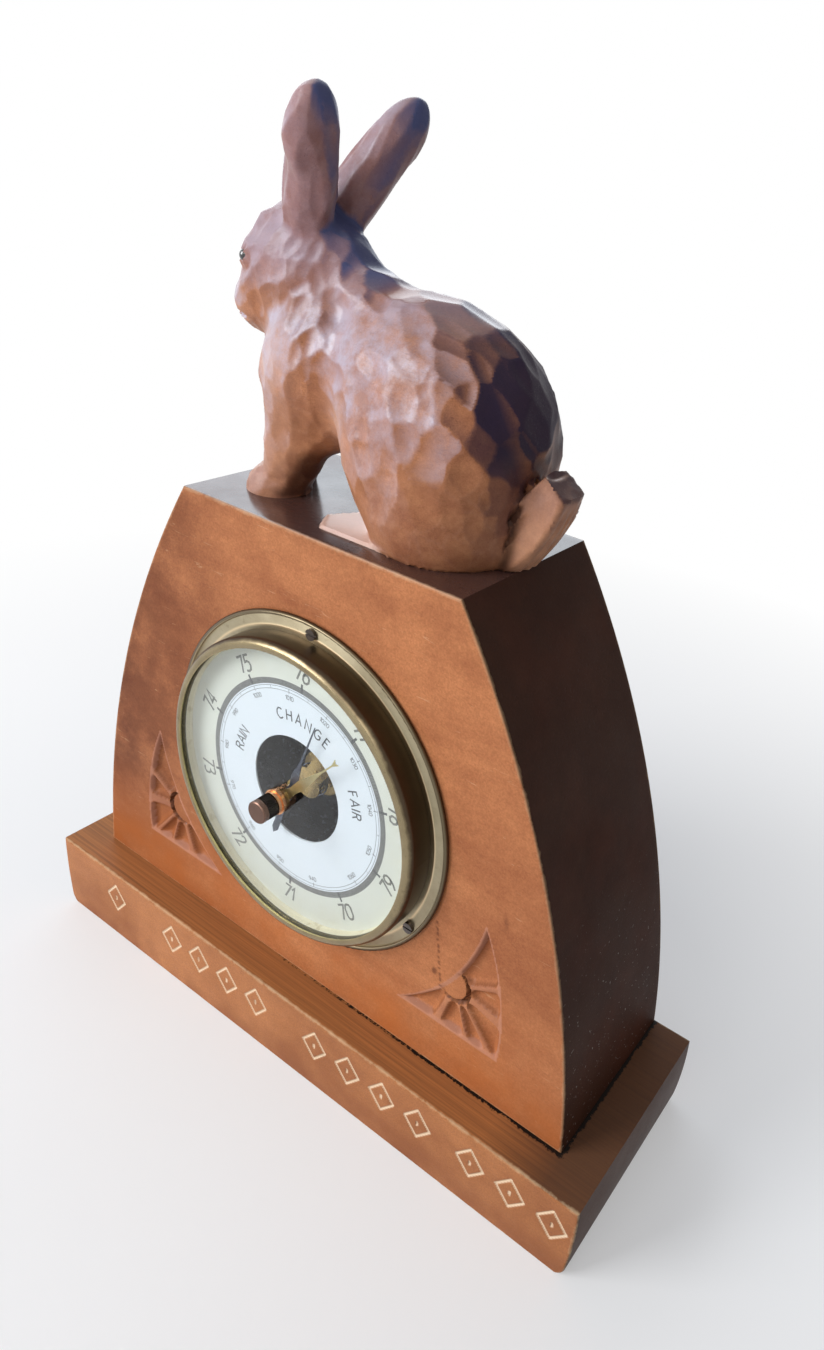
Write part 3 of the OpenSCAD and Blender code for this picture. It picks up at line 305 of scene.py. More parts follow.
def makeGrainGroup():
    # fine pores, broad figure and mottling of a close-grained wood; its grain runs along X
    tree, ins, out = newGroup("woodGrain", {"Light": (0.5, 0.2, 0.08, 1), "Dark": (0.2, 0.07, 0.03, 1),
                                            "Mottle": 0.5, "Scale": 1.0}, ("Color", "Height", "Blotch"))
    place = vectorCalc(tree, "SCALE", {0: objectCoords(tree), "Scale": ins["Scale"]})
    figure = noise(tree, stretch(tree, place, (14, 40, 60)), 1.0, 4, 0.6, 0.6)
    pores = noise(tree, stretch(tree, place, (300, 900, 1500)), 1.0, 3, 0.7)
    speckle = noise(tree, place, 1700, 2, 0.6)
    blotch = noise(tree, place, 22, 6, 0.62)
    fine = noise(tree, place, 130, 5, 0.7)
    tone = plus(tree, times(tree, remap(tree, figure, 0.3, 0.72), 0.45),
                times(tree, remap(tree, blotch, 0.3, 0.7), 0.55))
    tone = mixColor(tree, 0.3, gray(tree, tone), gray(tree, fine))
    tone = addNode(tree, "RGBToBW", {0: tone}).outputs[0]
    amount = times(tree, remap(tree, tone, 0.25, 0.75), ins["Mottle"], True)
    poreMask = remap(tree, pores, 0.56, 0.72)
    color = layered(tree, ins["Light"], (amount, ins["Dark"]), (times(tree, poreMask, 0.35), ins["Dark"]))
    grit = remap(tree, speckle, 0.35, 0.7, 0.84, 1.1)
    color = mixColor(tree, 1.0, color, gray(tree, grit), "MULTIPLY")
    height = minus(tree, times(tree, fine, 0.4), times(tree, poreMask, 0.6))
    feed(tree, out, {"Color": color, "Height": height, "Blotch": blotch})
    return tree


def makeWearGroup():
    # a mask along worn arrises: one at the edge, broken up by noise, gone past the width (in mm)
    tree, ins, out = newGroup("edgeWear", {"Distance": 10.0, "Width": 1.0, "Break": 0.5}, ("Mask",))
    place = objectCoords(tree)
    chips = noise(tree, place, 260, 6, 0.7)
    reach = times(tree, ins["Width"], remap(tree, chips, 0.3, 0.75, 0.45, 1.5))
    near = invert(tree, calc(tree, "DIVIDE", ins["Distance"], reach), True)
    broken = remap(tree, noise(tree, place, 60, 4, 0.6), 0.35, 0.6)
    keep = invert(tree, times(tree, ins["Break"], invert(tree, broken)))
    feed(tree, out, {"Mask": times(tree, near, keep, True)})
    return tree


def makeDustGroup():
    # a thin veil that settles on surfaces facing up, and specks all over
    tree, ins, out = newGroup("dust", {"Amount": 0.5}, ("Mask", "Specks"))
    place = objectCoords(tree)
    veil = remap(tree, noise(tree, place, 90, 6, 0.7), 0.42, 0.75)
    specks = remap(tree, noise(tree, place, 900, 2, 0.5), 0.68, 0.74)
    facing = remap(tree, split(tree, surfaceNormal(tree))[2], 0.2, 1.0)
    feed(tree, out, {"Mask": times(tree, times(tree, veil, facing), ins["Amount"], True),
                     "Specks": times(tree, specks, ins["Amount"], True)})
    return tree


def makeTarnishGroup():
    # cloudy tarnish, fingerprints and fine scratches on brass
    tree, ins, out = newGroup("tarnish", {"Amount": 0.5}, ("Mask", "Scratches", "Height"))
    place = objectCoords(tree)
    cloud = noise(tree, place, 60, 7, 0.65, 0.4)
    spots = remap(tree, noise(tree, place, 420, 3, 0.6), 0.6, 0.75)
    mask = plus(tree, times(tree, remap(tree, cloud, 0.35, 0.7), 0.8), times(tree, spots, 0.5), True)
    lines = noise(tree, stretch(tree, place, (2500, 120, 160)), 1.0, 2, 0.5, 0.8)
    scratches = remap(tree, lines, 0.63, 0.7)
    feed(tree, out, {"Mask": times(tree, mask, ins["Amount"], True), "Scratches": scratches,
                     "Height": minus(tree, cloud, times(tree, scratches, 0.5))})
    return tree


grainGroup = makeGrainGroup()
wearGroup = makeWearGroup()
dustGroup = makeDustGroup()
tarnishGroup = makeTarnishGroup()
print("shared effects made")


# wood

# the side colour is stain and painted shade on the sides; the top colour is the stain of the top
caseWood = dict(light=(0.52, 0.205, 0.085, 1), dark=(0.24, 0.072, 0.030, 1), worn=(0.66, 0.42, 0.24, 1),
                side=(0.020, 0.0075, 0.0055, 1), top=(0.050, 0.030, 0.031, 1),
                stain=(0.070, 0.020, 0.012, 1), glow=(0.56, 0.165, 0.040, 1), cut=(0.52, 0.255, 0.175, 1),
                speck=(0.55, 0.5, 0.45, 1), mottle=0.8, rough=0.5, wearWidth=1.15, sideShade=0.94,
                frontCoat=0.03, coatRough=0.16, coatBend=2.1, specular=0.06)
grainRelief = dict(strength=0.35, distance=0.2 * mm)


def makeCaseWood(name, spec):
    material, tree, shader = newMaterial(name)
    here = objectCoords(tree)
    grain = useGroup(tree, grainGroup, {"Light": spec["light"], "Dark": spec["dark"],
                                        "Mottle": spec["mottle"]})
    normal = split(tree, surfaceNormal(tree))
    place = split(tree, here)
    front = remap(tree, normal[1], -0.25, -0.75)
    notFront = invert(tree, front)
    up = remap(tree, normal[2], 0.6, 0.9)
    # the sides and the top are stained much darker than the face, and on the sides this dark is also painted
    # shade, as they face away from the lamps
    warm = times(tree, remap(tree, noise(tree, here, 30, 5, 0.6), 0.45, 0.75), 0.5)
    sideStainAndShade = layered(tree, spec["side"], (up, spec["top"]), (warm, spec["stain"]))
    # smoke-dark drifts on the left and along the top of the face
    left = remap(tree, place[0], -15 * mm, -100 * mm, 0.0, 0.7)
    high = remap(tree, place[2], 180 * mm, 204 * mm, 0.0, 0.3)
    drift = times(tree, remap(tree, grain["Blotch"], 0.38, 0.6), calc(tree, "MAXIMUM", left, high))
    # redder along the foot, browner towards the right
    foot = times(tree, remap(tree, place[2], 78 * mm, 40 * mm, 0.0, 0.55),
                 remap(tree, grain["Blotch"], 0.35, 0.6))
    right = remap(tree, place[0], 62 * mm, 100 * mm, 0.0, 0.22)
    # worn along the arrises, but not over the flat back
    wear = useGroup(tree, wearGroup, {"Distance": attribute(tree, "edge"), "Width": spec["wearWidth"],
                                      "Break": 0.45})["Mask"]
    wear = times(tree, wear, remap(tree, normal[1], 0.7, 0.97, 1.0, 0.0))
    specks = useGroup(tree, dustGroup, {"Amount": 0.8})["Specks"]
    low = times(tree, specks, remap(tree, place[2], 110 * mm, 50 * mm, 0.0, 0.8))
    # hairline scratches that cross the grain
    lines = noise(tree, stretch(tree, here, (90, 90, 900)), 1.0, 2, 0.5, 1.6)
    scratch = times(tree, remap(tree, lines, 0.70, 0.76), 0.3)
    color = layered(tree, grain["Color"],
                    # stain of the sides and top, with painted shade on the sides
                    (times(tree, notFront, spec["sideShade"]), sideStainAndShade),
                    (times(tree, drift, front), spec["stain"]),
                    (times(tree, foot, front), spec["glow"]),
                    (times(tree, right, front), spec["dark"]),
                    (times(tree, wear, 0.85), spec["worn"]),
                    (times(tree, attribute(tree, "cut"), 0.55, True), spec["cut"]),
                    (attribute(tree, "drip"), spec["stain"]),
                    (times(tree, low, notFront), spec["speck"]),
                    (times(tree, scratch, front), spec["worn"]))
    rough = remap(tree, grain["Blotch"], 0.3, 0.7, spec["rough"] - 0.06, spec["rough"] + 0.12)
    rough = plus(tree, rough, times(tree, wear, 0.2))
    # only the top is polished, not the carved slopes that face up
    sheen = remap(tree, noise(tree, here, 25, 4, 0.6), 0.35, 0.65, 0.7, 1.0)
    polish = times(tree, times(tree, up, sheen), remap(tree, place[2], 194 * mm, 198 * mm))
    coat = calc(tree, "MAXIMUM", polish, times(tree, front, spec["frontCoat"]))
    feed(tree, shader, {"Base Color": color, "Roughness": rough, "Coat Weight": coat,
                        "Coat Roughness": spec["coatRough"], "Coat IOR": spec["coatBend"],
                        "Specular IOR Level": spec["specular"],
                        "Normal": bump(tree, grain["Height"], **grainRelief)})
    return material


def shellRows(start, end, marks, coarse):
    # spacing along one side of a face: coarse steps, with each (from, to, step) of marks laid finer
    values = [start, end]
    at = start
    for low, high, step in marks:
        values += list(np.arange(at, low, coarse)) + list(np.arange(low, high, step))
        at = high
    values += list(np.arange(at, end, coarse))
    edge = np.array([0, 0.4, 0.9, 1.6, 2.6]) * mm
    values = np.concatenate([values, start + edge, end - edge])
    values = np.unique(np.round(values, 6))
    keep = np.concatenate([[True], np.diff(values) > 0.12 * mm])
    keep[-1] = True
    return values[keep]

def bowedShell(name, spec, halfWidth, relief):
    # The front face is a grid: x = u times (half width at z), depth = relief(x, z). Loops from its
    # rim run over a rounded arris, back along the sides and over the rear arris to one flat face.
    r = spec["rounding"]
    low, high, front, back = spec["low"], spec["high"], spec["front"], spec["back"]
    u, z = spec["columns"], spec["rows"]
    v = (z - z[0]) / (z[-1] - z[0])
    nu, nv = len(u), len(v)

    def place(u, v, inset):
        up = low + inset + v * (high - low - 2 * inset)
        return u * (halfWidth(up) - inset), up

    gridU, gridV = np.meshgrid(u, v)
    x, up = place(gridU, gridV, r)
    depth, cut, drip = relief(x, up)
    points = [np.stack([x, front + depth, up], -1).reshape(-1, 3)]
    reach = np.minimum(halfWidth(up) - abs(x), np.minimum(up - low, high - up)) / mm
    edges, cuts, drips = [reach.ravel()], [cut.ravel()], [drip.ravel()]
    rim = np.concatenate([np.arange(nu - 1), (nu - 1) + nu * np.arange(nv - 1),
                          nu * nv - 1 - np.arange(nu - 1), (nv - 1 - np.arange(nv - 1)) * nu])
    rimU, rimV = gridU.ravel()[rim], gridV.ravel()[rim]
    turns = np.radians(np.linspace(0, 90, 6))
    loops = [(r * (1 - math.sin(t)), front + r * (1 - math.cos(t))) for t in turns[1:]]
    deep = back - front
    farEdge = 9 * mm  # no wear reaches beyond this
    for run in (0.9 * mm, 2 * mm, 4 * mm, 8 * mm, deep / 2, deep - 8 * mm, deep - 4 * mm, deep - 2 * mm):
        loops.append((0, front + r + run * (deep - 2 * r) / deep))
    loops += [(r * (1 - math.sin(t)), back - r * (1 - math.cos(t))) for t in turns[::-1]]
    faces = gridFaces(nv, nu).tolist()
    before = rim
    count = nu * nv
    for inset, y in loops:
        x, up = place(rimU, rimV, inset)
        points.append(np.stack([x, 0 * x + y, up], -1))
        reach = math.hypot(inset, inset) + 0 * x + min(abs(y - front), abs(back - y))
        edges.append(np.minimum(reach, farEdge) / mm)
        cuts.append(0 * x)
        drips.append(0 * x)
        here = count + np.arange(len(rim))
        faces += np.stack([before, np.roll(before, -1), np.roll(here, -1), here], 1).tolist()
        before = here
        count += len(rim)
    faces.append(before[::-1].tolist())
    mesh = newMesh(name, np.concatenate(points), faces)
    for label, values in (("edge", edges), ("cut", cuts), ("drip", drips)):
        putAttribute(mesh, label, np.concatenate(values))
    with editing(mesh) as work:
        bmesh.ops.recalc_face_normals(work, faces=work.faces)
    return link(name, mesh)


def sideArc(footW, topW, h, bow, low):
    # half width of a block whose sides are arcs bulging by bow beyond their chords
    run = (footW - topW) / 2
    chord = math.hypot(run, h)
    radius = (chord * chord / 4 + bow * bow) / (2 * bow)
    centreX = (footW + topW) / 4 + (bow - radius) * h / chord
    centreZ = low + h / 2 + (bow - radius) * run / chord
    return lambda z: centreX + np.sqrt(np.maximum(radius ** 2 - (z - centreZ) ** 2, 0))


# the corner carvings: a sunk triangle with a boss and five gouged petals, in mm from the dial's centre
corner = dict(dialR=76.7, sideR=88.5, sideAt=(-4, -53.5), foot=-63, bossR=6.1, bossReach=79.3, bossTurn=-34,
              ridges=((-146, 0.25), (-108, 0.45), (-72, 0.15), (-50, 0.2), (-12, 0.7), (28.5, 0.3)),
              depth=2.6, ridgeDrop=0.25, gouge=2.8, border=1.2)


def cornerRelief(x, z, spec):
    # depth in mm: round-bottomed gouge cuts that start at the border, the boss and the ridges
    px, py = abs(x) / mm, (z - dialUp) / mm
    r = np.hypot(px, py)
    side = spec["sideR"] - np.hypot(px - spec["sideAt"][0], py - spec["sideAt"][1])
    inside = np.minimum(np.minimum(r - spec["dialR"], side), py - spec["foot"])
    turn = math.radians(spec["bossTurn"])
    bx, by = spec["bossReach"] * math.cos(turn), spec["bossReach"] * math.sin(turn)
    boss = np.hypot(px - bx, py - by) - spec["bossR"]
    ridge = np.full_like(px, 99.0)
    for angle, half in spec["ridges"]:
        a = math.radians(angle)
        along = (px - bx) * math.cos(a) + (py - by) * math.sin(a)
        across = abs(-(px - bx) * math.sin(a) + (py - by) * math.cos(a))
        ridge = np.minimum(ridge, np.where(along > 0, across - half * (1 + along / 14), 99.0))
    # corners of a cut are rounded like the gouge: radius less the distance out of the rounded corner
    gouge = spec["gouge"]
    miss = [np.maximum(gouge - gap, 0) ** 2 for gap in (inside - 0.2, boss, ridge)]
    free = gouge - np.sqrt(sum(miss))
    scoop = 1 - (1 - np.clip(free / gouge, 0, 1)) ** 2
    ground = spec["ridgeDrop"] + (spec["depth"] - spec["ridgeDrop"]) * scoop
    rounded = spec["ridgeDrop"] + 0.5 * ((boss + spec["bossR"]) / spec["bossR"]) ** 3
    ground = np.where(boss < 0, rounded, ground)
    # a deep crescent round the boss and a nick in its side
    sickle = np.minimum(0.5 - boss, np.hypot(px - bx + 1.25, py - by - 0.35) - spec["bossR"] + 0.35)
    ground = np.maximum(ground, 2.4 * np.clip(sickle / 0.7, 0, 1))
    nick = 1.2 - np.hypot((px - bx + 4.2) * 1.2, (py - by - 1.2) * 0.8)
    ground = np.maximum(ground, 1.3 * np.clip(nick / 0.8, 0, 1))
    depth = np.where(inside > 0, ground * np.clip(inside / spec["border"], 0, 1), 0)
    # the slopes along the border and the ridges are painted paler and pinker
    slope = np.where((inside > -0.25) & (inside < spec["border"]), 0.9, 0.0)
    slope = np.maximum(slope, np.where((inside > 0) & (ridge < 0.3) & (boss > 0), 0.45, 0.0))
    return depth * mm, slope

# drips of stain down the right of the face, in mm from the dial's centre
drips = dict(x=57.0, slant=-0.13, low=-52, high=-22, half=0.5,
             spots=((57.6, -43, 1.5), (81.9, -9.6, 1.6), (60.5, -50, 1.0)))


def caseRelief(x, z):
    depth, cut = cornerRelief(x, z, corner)
    px, py = x / mm, (z - dialUp) / mm
    # a wavering line, broken by two beats of sine, and a few round spots
    wobble = 0.25 * np.sin(py * 1.7) * np.sin(py * 0.6 + 1)
    broken = 0.5 + 0.3 * np.sin(py * 2.9 + 0.8) + 0.2 * np.sin(py * 1.1)
    across = px - drips["x"] - drips["slant"] * (py - drips["high"]) - wobble
    line = smooth(drips["half"] * 1.5, 0.15, abs(across))
    run = ((py > drips["low"]) & (py < drips["high"])).astype(float)
    drip = line * run * smooth(0.3, 0.55, broken) * 0.6
    for atX, atY, radius in drips["spots"]:
        spot = smooth(radius, radius * 0.3, np.hypot(px - atX, (py - atY) * 0.75))
        drip = np.maximum(drip, spot * 0.65)
    return depth, cut, drip


# columns are shares of the half width and, like the rows, finest where the two carvings lie
caseShape = dict(topW=0.113, bow=0.0118, rounding=0.7 * mm, pocketR=52.9 * mm, pocketDeep=41 * mm,
                 holeR=5 * mm, carved=(0.315, 0.885), carvedStep=0.0042, rim=(0.98, 0.992, 0.9975),
                 fineRows=(49 * mm, 101 * mm, 0.42 * mm), rowStep=4 * mm, spare=5 * mm)


def makeCase(spec):
    height = caseHigh[2] - caseLow[2]
    halfWidth = sideArc(caseHigh[0] - caseLow[0], spec["topW"], height, spec["bow"], caseLow[2])
    half = np.concatenate([np.arange(*spec["carved"], spec["carvedStep"]), spec["rim"]])
    columns = np.unique(np.round(np.concatenate([shellRows(-1, 1, [], 0.05), -half, half]), 5))
    columns = columns[np.concatenate([[True], np.diff(columns) > 0.0012])]
    rows = shellRows(caseLow[2], caseHigh[2], [spec["fineRows"]], spec["rowStep"])
    block = dict(rounding=spec["rounding"], low=caseLow[2], high=caseHigh[2], front=faceY, back=backY,
                 columns=columns, rows=rows)
    shell = bowedShell("caseShell", block, halfWidth, caseRelief)
    floorY = faceY + spec["pocketDeep"]
    bored(shell, [(0, dialUp, spec["pocketR"], faceY - spec["spare"], floorY),
                  (0, dialUp, spec["holeR"], floorY - 1 * mm, backY + spec["spare"])])
    shade(shell.data, 32)
    paint(shell, makeCaseWood("caseWood", caseWood))
    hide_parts("case_block")
    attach(shell, "case")
    return halfWidth


caseHalf = makeCase(caseShape)
print("case made")


# the dirt colour is dirt and painted shade along the joint below the case
# the dusk colour darkens the grain streaks and is the painted shade on the right end of the top; the end
# colour is the painted shade of the end faces
plinthWood = dict(light=(0.53, 0.215, 0.080, 1), dark=(0.25, 0.085, 0.034, 1), top=(0.42, 0.165, 0.055, 1),
                  end=(0.026, 0.010, 0.007, 1), dusk=(0.095, 0.045, 0.026, 1), worn=(0.76, 0.55, 0.32, 1),
                  cut=(0.80, 0.62, 0.43, 1), dirtAndShade=(0.012, 0.008, 0.006, 1), mottle=0.7, wearWidth=1.0,
                  coat=0.04, coatRough=0.3, specular=0.1)


def makePlinthWood(name, spec):
    material, tree, shader = newMaterial(name)
    here = objectCoords(tree)
    grain = useGroup(tree, grainGroup, {"Light": spec["light"], "Dark": spec["dark"],
                                        "Mottle": spec["mottle"]})
    normal = split(tree, surfaceNormal(tree))
    place = split(tree, here)
    up = remap(tree, normal[2], 0.35, 0.8)
    # the top is streaked along its grain, and painted darker at its right end, a painted shade
    lines = noise(tree, stretch(tree, here, (14, 1300, 60)), 1.0, 4, 0.65)
    tops = mixColor(tree, remap(tree, lines, 0.36, 0.72, 0.0, 0.6), spec["top"], spec["dusk"])
    rightEndShade = times(tree, up, remap(tree, place[0], 88 * mm, 112 * mm, 0.0, 0.85))
    low = times(tree, remap(tree, place[2], 13 * mm, 1 * mm, 0.0, 0.9),
                remap(tree, grain["Blotch"], 0.35, 0.6))
    # painted shade: both end faces are painted nearly black, for the right end that faces away from the lamps
    end = remap(tree, calc(tree, "ABSOLUTE", normal[0]), 0.5, 0.85)
    cut = attribute(tree, "cut")
    wear = useGroup(tree, wearGroup, {"Distance": attribute(tree, "edge"), "Width": spec["wearWidth"],
                                      "Break": 0.25})["Mask"]
    # dirt and painted shade in the corner below the case, wider towards the right
    seatBandReach = times(tree, remap(tree, noise(tree, here, 500, 5, 0.75), 0.3, 0.7, 0.1, 1.0),
                   remap(tree, place[0], -40 * mm, 105 * mm, 0.5, 2.0))
    jointDirtAndShade = invert(tree, calc(tree, "DIVIDE", attribute(tree, "seat"), seatBandReach), True)
    color = layered(tree, grain["Color"],
                    (up, tops),
                    (rightEndShade, spec["dusk"]),
                    (low, spec["dark"]),
                    (times(tree, end, 0.92), spec["end"]),
                    (times(tree, wear, 0.85), spec["worn"]),
                    (cut, spec["cut"]),
                    (times(tree, times(tree, jointDirtAndShade, 3.0, True), up), spec["dirtAndShade"]))
    rough = plus(tree, remap(tree, grain["Blotch"], 0.3, 0.7, 0.36, 0.55), times(tree, cut, 0.3))
    feed(tree, shader, {"Base Color": color, "Roughness": rough, "Coat Weight": spec["coat"],
                        "Coat Roughness": spec["coatRough"], "Specular IOR Level": spec["specular"],
                        "Normal": bump(tree, grain["Height"], **grainRelief)})
    return material


# a plain incised border on the plinth: groups of lozenges with a nick in the middle, in mm
ornament = dict(groups=((-92, 1), (-58, 4), (18, 4), (86, 4)), pitch=15.5, high=25.2, low=13.2, half=0.55,
                depth=0.5)


def ornamentLines(spec):
    # each lozenge is four strokes round a short one
    lines = []
    midZ, halfZ = (spec["high"] + spec["low"]) / 2, (spec["high"] - spec["low"]) / 2
    for start, count in spec["groups"]:
        for k in range(count):
            x = start + k * spec["pitch"]
            w = spec["pitch"] * 0.34
            corners = [(x - w, midZ), (x, midZ + halfZ), (x + w, midZ), (x, midZ - halfZ)]
            lines += [(corners[i], corners[(i + 1) % 4]) for i in range(4)]
            lines.append(((x, midZ - 0.6), (x, midZ + 0.6)))
    return lines


def plinthRelief(x, z):
    # distance from every point to the nearest stroke, then a v-cut along it
    px, pz = x / mm, z / mm
    near = np.full_like(px, 99.0)
    for (ax, az), (bx, bz) in ornamentLines(ornament):
        dx, dz = bx - ax, bz - az
        t = np.clip(((px - ax) * dx + (pz - az) * dz) / (dx * dx + dz * dz), 0, 1)
        near = np.minimum(near, np.hypot(px - ax - t * dx, pz - az - t * dz))
    groove = np.clip(1 - near / ornament["half"], 0, 1)
    return groove * ornament["depth"] * mm, smooth(0, 0.5, groove), 0 * px

# drawn in towards the floor; the top is cut across at these distances (mm) in front of the case
plinthShape = dict(inset=0.1 * mm, draw=2.2 * mm, footRound=4 * mm, bow=0.8 * mm, rounding=0.8 * mm,
                   columns=521, rim=(0.996, 0.999), fineRows=(12 * mm, 26.5 * mm, 0.4 * mm),
                   rowStep=0.9 * mm, cuts=(0.5, 2.5, 6))


def makePlinth(spec):
    low, high = plinthLow[2], plinthHigh[2]
    topHalf = (plinthHigh[0] - plinthLow[0]) / 2 - spec["inset"]
    arc = sideArc(2 * (topHalf - spec["draw"]), 2 * topHalf, high - low, spec["bow"], low)
    footRound = spec["footRound"]

    def halfWidth(z):
        lift = np.clip(1 - (z - low) / footRound, 0, 1)
        return arc(z) - footRound * (1 - np.sqrt(np.maximum(1 - lift ** 2, 0))) * 0.98

    rim = np.array(spec["rim"])
    columns = np.unique(np.round(np.concatenate([np.linspace(-1, 1, spec["columns"]), -rim, rim]), 5))
    block = dict(rounding=spec["rounding"], low=low, high=high, front=plinthLow[1], back=plinthHigh[1],
                 columns=columns, rows=shellRows(low, high, [spec["fineRows"]], spec["rowStep"]))
    shell = bowedShell("plinthShell", block, halfWidth, plinthRelief)
    with editing(shell.data) as work:
        for gap in spec["cuts"]:
            bmesh.ops.bisect_plane(work, geom=work.verts[:] + work.edges[:] + work.faces[:],
                                   plane_co=(0, faceY - gap * mm, 0), plane_no=(0, 1, 0))
    co = coordsOf(shell.data)
    # distance (mm) out from the foot of the case, for the dirt and painted shade along the joint
    outX = abs(co[:, 0]) - caseHalf(caseLow[2])
    putAttribute(shell.data, "seat", np.maximum(np.maximum(outX, faceY - co[:, 1]), 0) / mm)
    shade(shell.data, 32)
    paint(shell, makePlinthWood("plinthWood", plinthWood))
    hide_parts("plinth")
    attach(shell, "case")


makePlinth(plinthShape)
print("plinth made")


# the rabbit

# each form in mm: centre from the middle of the case's top, half sizes, pitch, lean, whether it is one of
# a pair, its cuts as length and width of a scoop and its depth, the direction of the stroke, and flats
# sawn off it as an outward direction and its distance from the centre
bodyForms = [
    dict(name="torso", at=(19, 0, 40.5), size=(39.5, 24, 30.5), pitch=13, cut=(15, 8.5, 1.45),
         stroke=(0.8, 0, -0.6)),
    dict(name="haunch", at=(25, 11, 29.5), size=(29.5, 16.5, 30.5), pitch=9, pair=True, cut=(10.5, 7.6, 1.2),
         stroke=(0.35, 0, -1)),
    dict(name="rump", at=(29.3, 0, 11.5), size=(25.2, 26.9, 25.5), cut=(13, 8, 0.9), stroke=(0.3, 0, -1)),
    dict(name="chest", at=(-22, 0, 42), size=(23.5, 20.5, 26.5), pitch=10, cut=(11, 6.5, 1.1),
         stroke=(-0.1, 0, -1)),
    dict(name="neck", at=(-24, 0, 64), size=(17.6, 12.2, 20.3), cut=(10, 6.2, 1.05), stroke=(0.2, 0, -1)),
    dict(name="nape", at=(-5, 0, 65), size=(15, 11, 8), pitch=18, cut=(9, 6.5, 0.8), stroke=(1, 0, -0.4)),
    dict(name="head", at=(-35.5, 0, 69), size=(22, 15, 21), pitch=-45.5, cut=(9, 6, 1.1),
         stroke=(-0.5, 0, -0.6)),
    dict(name="muzzle", at=(-50.3, 0, 58), size=(9.7, 11.8, 10.4), pitch=-34, cut=(6.5, 4.6, 0.75),
         stroke=(-0.3, 0, -1)),
    dict(name="leg", at=(-32.6, -8.2, 21.5), size=(7.0, 8.8, 24.5), cut=(10, 5.5, 1.0), stroke=(0.3, 0, -1)),
    dict(name="farLeg", at=(-42, 5.2, 21.5), size=(6.5, 7.2, 24.5), cut=(10, 5.5, 0.9), stroke=(0.3, 0, -1)),
    dict(name="elbow", at=(-28.6, -8, 15), size=(8, 8, 19), pitch=28, cut=(9, 5.5, 0.9), stroke=(0.5, 0, -1))]
limbForms = [
    dict(name="paw", at=(-37.4, -9.0, 1.0), size=(10.0, 9.8, 8.6), cut=(7, 4.5, 0.9), stroke=(-1, 0, -0.3)),
    dict(name="paw", at=(-47.5, 4.6, 1.0), size=(8.6, 7.8, 7.6), cut=(7, 4.5, 0.7), stroke=(-1, 0, -0.3)),
    dict(name="foot", at=(12, 15.5, -0.5), size=(34, 26, 8), pair=True, cut=(14, 7, 0.3), stroke=(-1, 0, 0),
         flats=((0, 0, 1, 0.7), (0, 1, 0, 8.2), (0, -1, 0, 9), (1, 0, 0, 13), (-0.83, 0.56, 0, 17.7),
                (-0.88, -0.48, 0, 18.4))),
    dict(name="ear", at=(-24.5, 9.2, 93), size=(8.7, 6.9, 29), pitch=26.5, lean=18, pair=True,
         cut=(26, 5.6, 1.1), stroke=(0.45, 0, 1)),
    dict(name="earTop", at=(-16.6, 16.4, 108.5), size=(6.7, 8.0, 14.8), pitch=26.5, lean=18, pair=True,
         cut=(18, 5.6, 1.0), stroke=(0.45, 0, 1)),
    dict(name="tail", at=(58.8, 0, 14.5), size=(6.2, 11, 21), pitch=27, cut=(16, 4.8, 0.5),
         stroke=(0.5, 0, 1), flats=((0, 1, 0.10, 6.6), (0, -1, 0.10, 6.6), (0.15, 0, 1, 14.2)))]
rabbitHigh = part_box("rabbit")[1]
rabbit = dict(bodyBlend=1.9, limbBlend=0.7, hollowBlend=0.9, offset=0.82, voxel=0.84, eyeTurn=112.5,
              eyeRise=32.5, rings=25, sides=48, passes=6)


def formMatrix(pitch, lean):
    # lean about X first, then pitch about Y, as rows of a rotation
    a, b = math.radians(-lean), math.radians(pitch)
    rx = np.array([[1, 0, 0], [0, math.cos(a), -math.sin(a)], [0, math.sin(a), math.cos(a)]])
    ry = np.array([[math.cos(b), 0, math.sin(b)], [0, 1, 0], [-math.sin(b), 0, math.cos(b)]])
    return ry @ rx


def placedForms(forms):
    # a pair gives two forms
    placed = []
    for form in forms:
        for side in ((1, -1) if form.get("pair") else (1,)):
            at = np.array(form["at"], float) * [1, side, 1]
            turn = formMatrix(form.get("pitch", 0), side * form.get("lean", 0))
            stroke = formMatrix(0, side * form.get("lean", 0)) @ np.array(form["stroke"], float)
            size = np.array(form["size"], float)
            placed.append(dict(form, at=at, turn=turn, size=size, stroke=stroke, side=side))
    return placed


def ellipsoidGap(points, form):
    # signed distance to an ellipsoid, close enough near its surface, with the flats sawn off it
    local = (points - form["at"]) @ form["turn"]
    a = np.linalg.norm(local / form["size"], axis=1)
    b = np.linalg.norm(local / form["size"] ** 2, axis=1)
    gap = a * (a - 1) / np.maximum(b, 1e-9)
    for x, y, z, reach in form.get("flats", ()):
        away = np.array([x, y * form["side"], z])
        gap = np.maximum(gap, local @ away / np.linalg.norm(away) - reach)
    return gap


def gapsTo(points, forms):
    return np.stack([ellipsoidGap(points, form) for form in forms])


def named(forms, name):
    return [form for form in forms if form["name"] == name]


bodies = placedForms(bodyForms)
limbs = placedForms(limbForms)
headForm, = named(bodies, "head")
tailForm, = named(limbs, "tail")
# the ears are hollowed along their fronts
earHollows = [dict(at=form["at"] + form["turn"] @ np.array([-9.4, 0, 5]), turn=form["turn"],
                   size=np.array([4.6, 4.0, 22.0])) for form in named(limbs, "ear")]


def headPoint(turn, rise, side):
    t, e = math.radians(turn), math.radians(rise)
    local = np.array([math.cos(e) * math.cos(t), side * math.cos(e) * math.sin(t), math.sin(e)])
    return headForm["at"] + headForm["turn"] @ (local * headForm["size"])


eyeAt = {side: headPoint(rabbit["eyeTurn"], rabbit["eyeRise"], side) for side in (1, -1)}


def tailCoords(points):
    return (points - tailForm["at"]) @ tailForm["turn"]


def smoothLeast(gaps, blend):
    # smooth union: least gap, less the log of summed falloffs
    least = gaps.min(0)
    return least - blend * np.log(np.exp(-(gaps - least) / blend).sum(0))


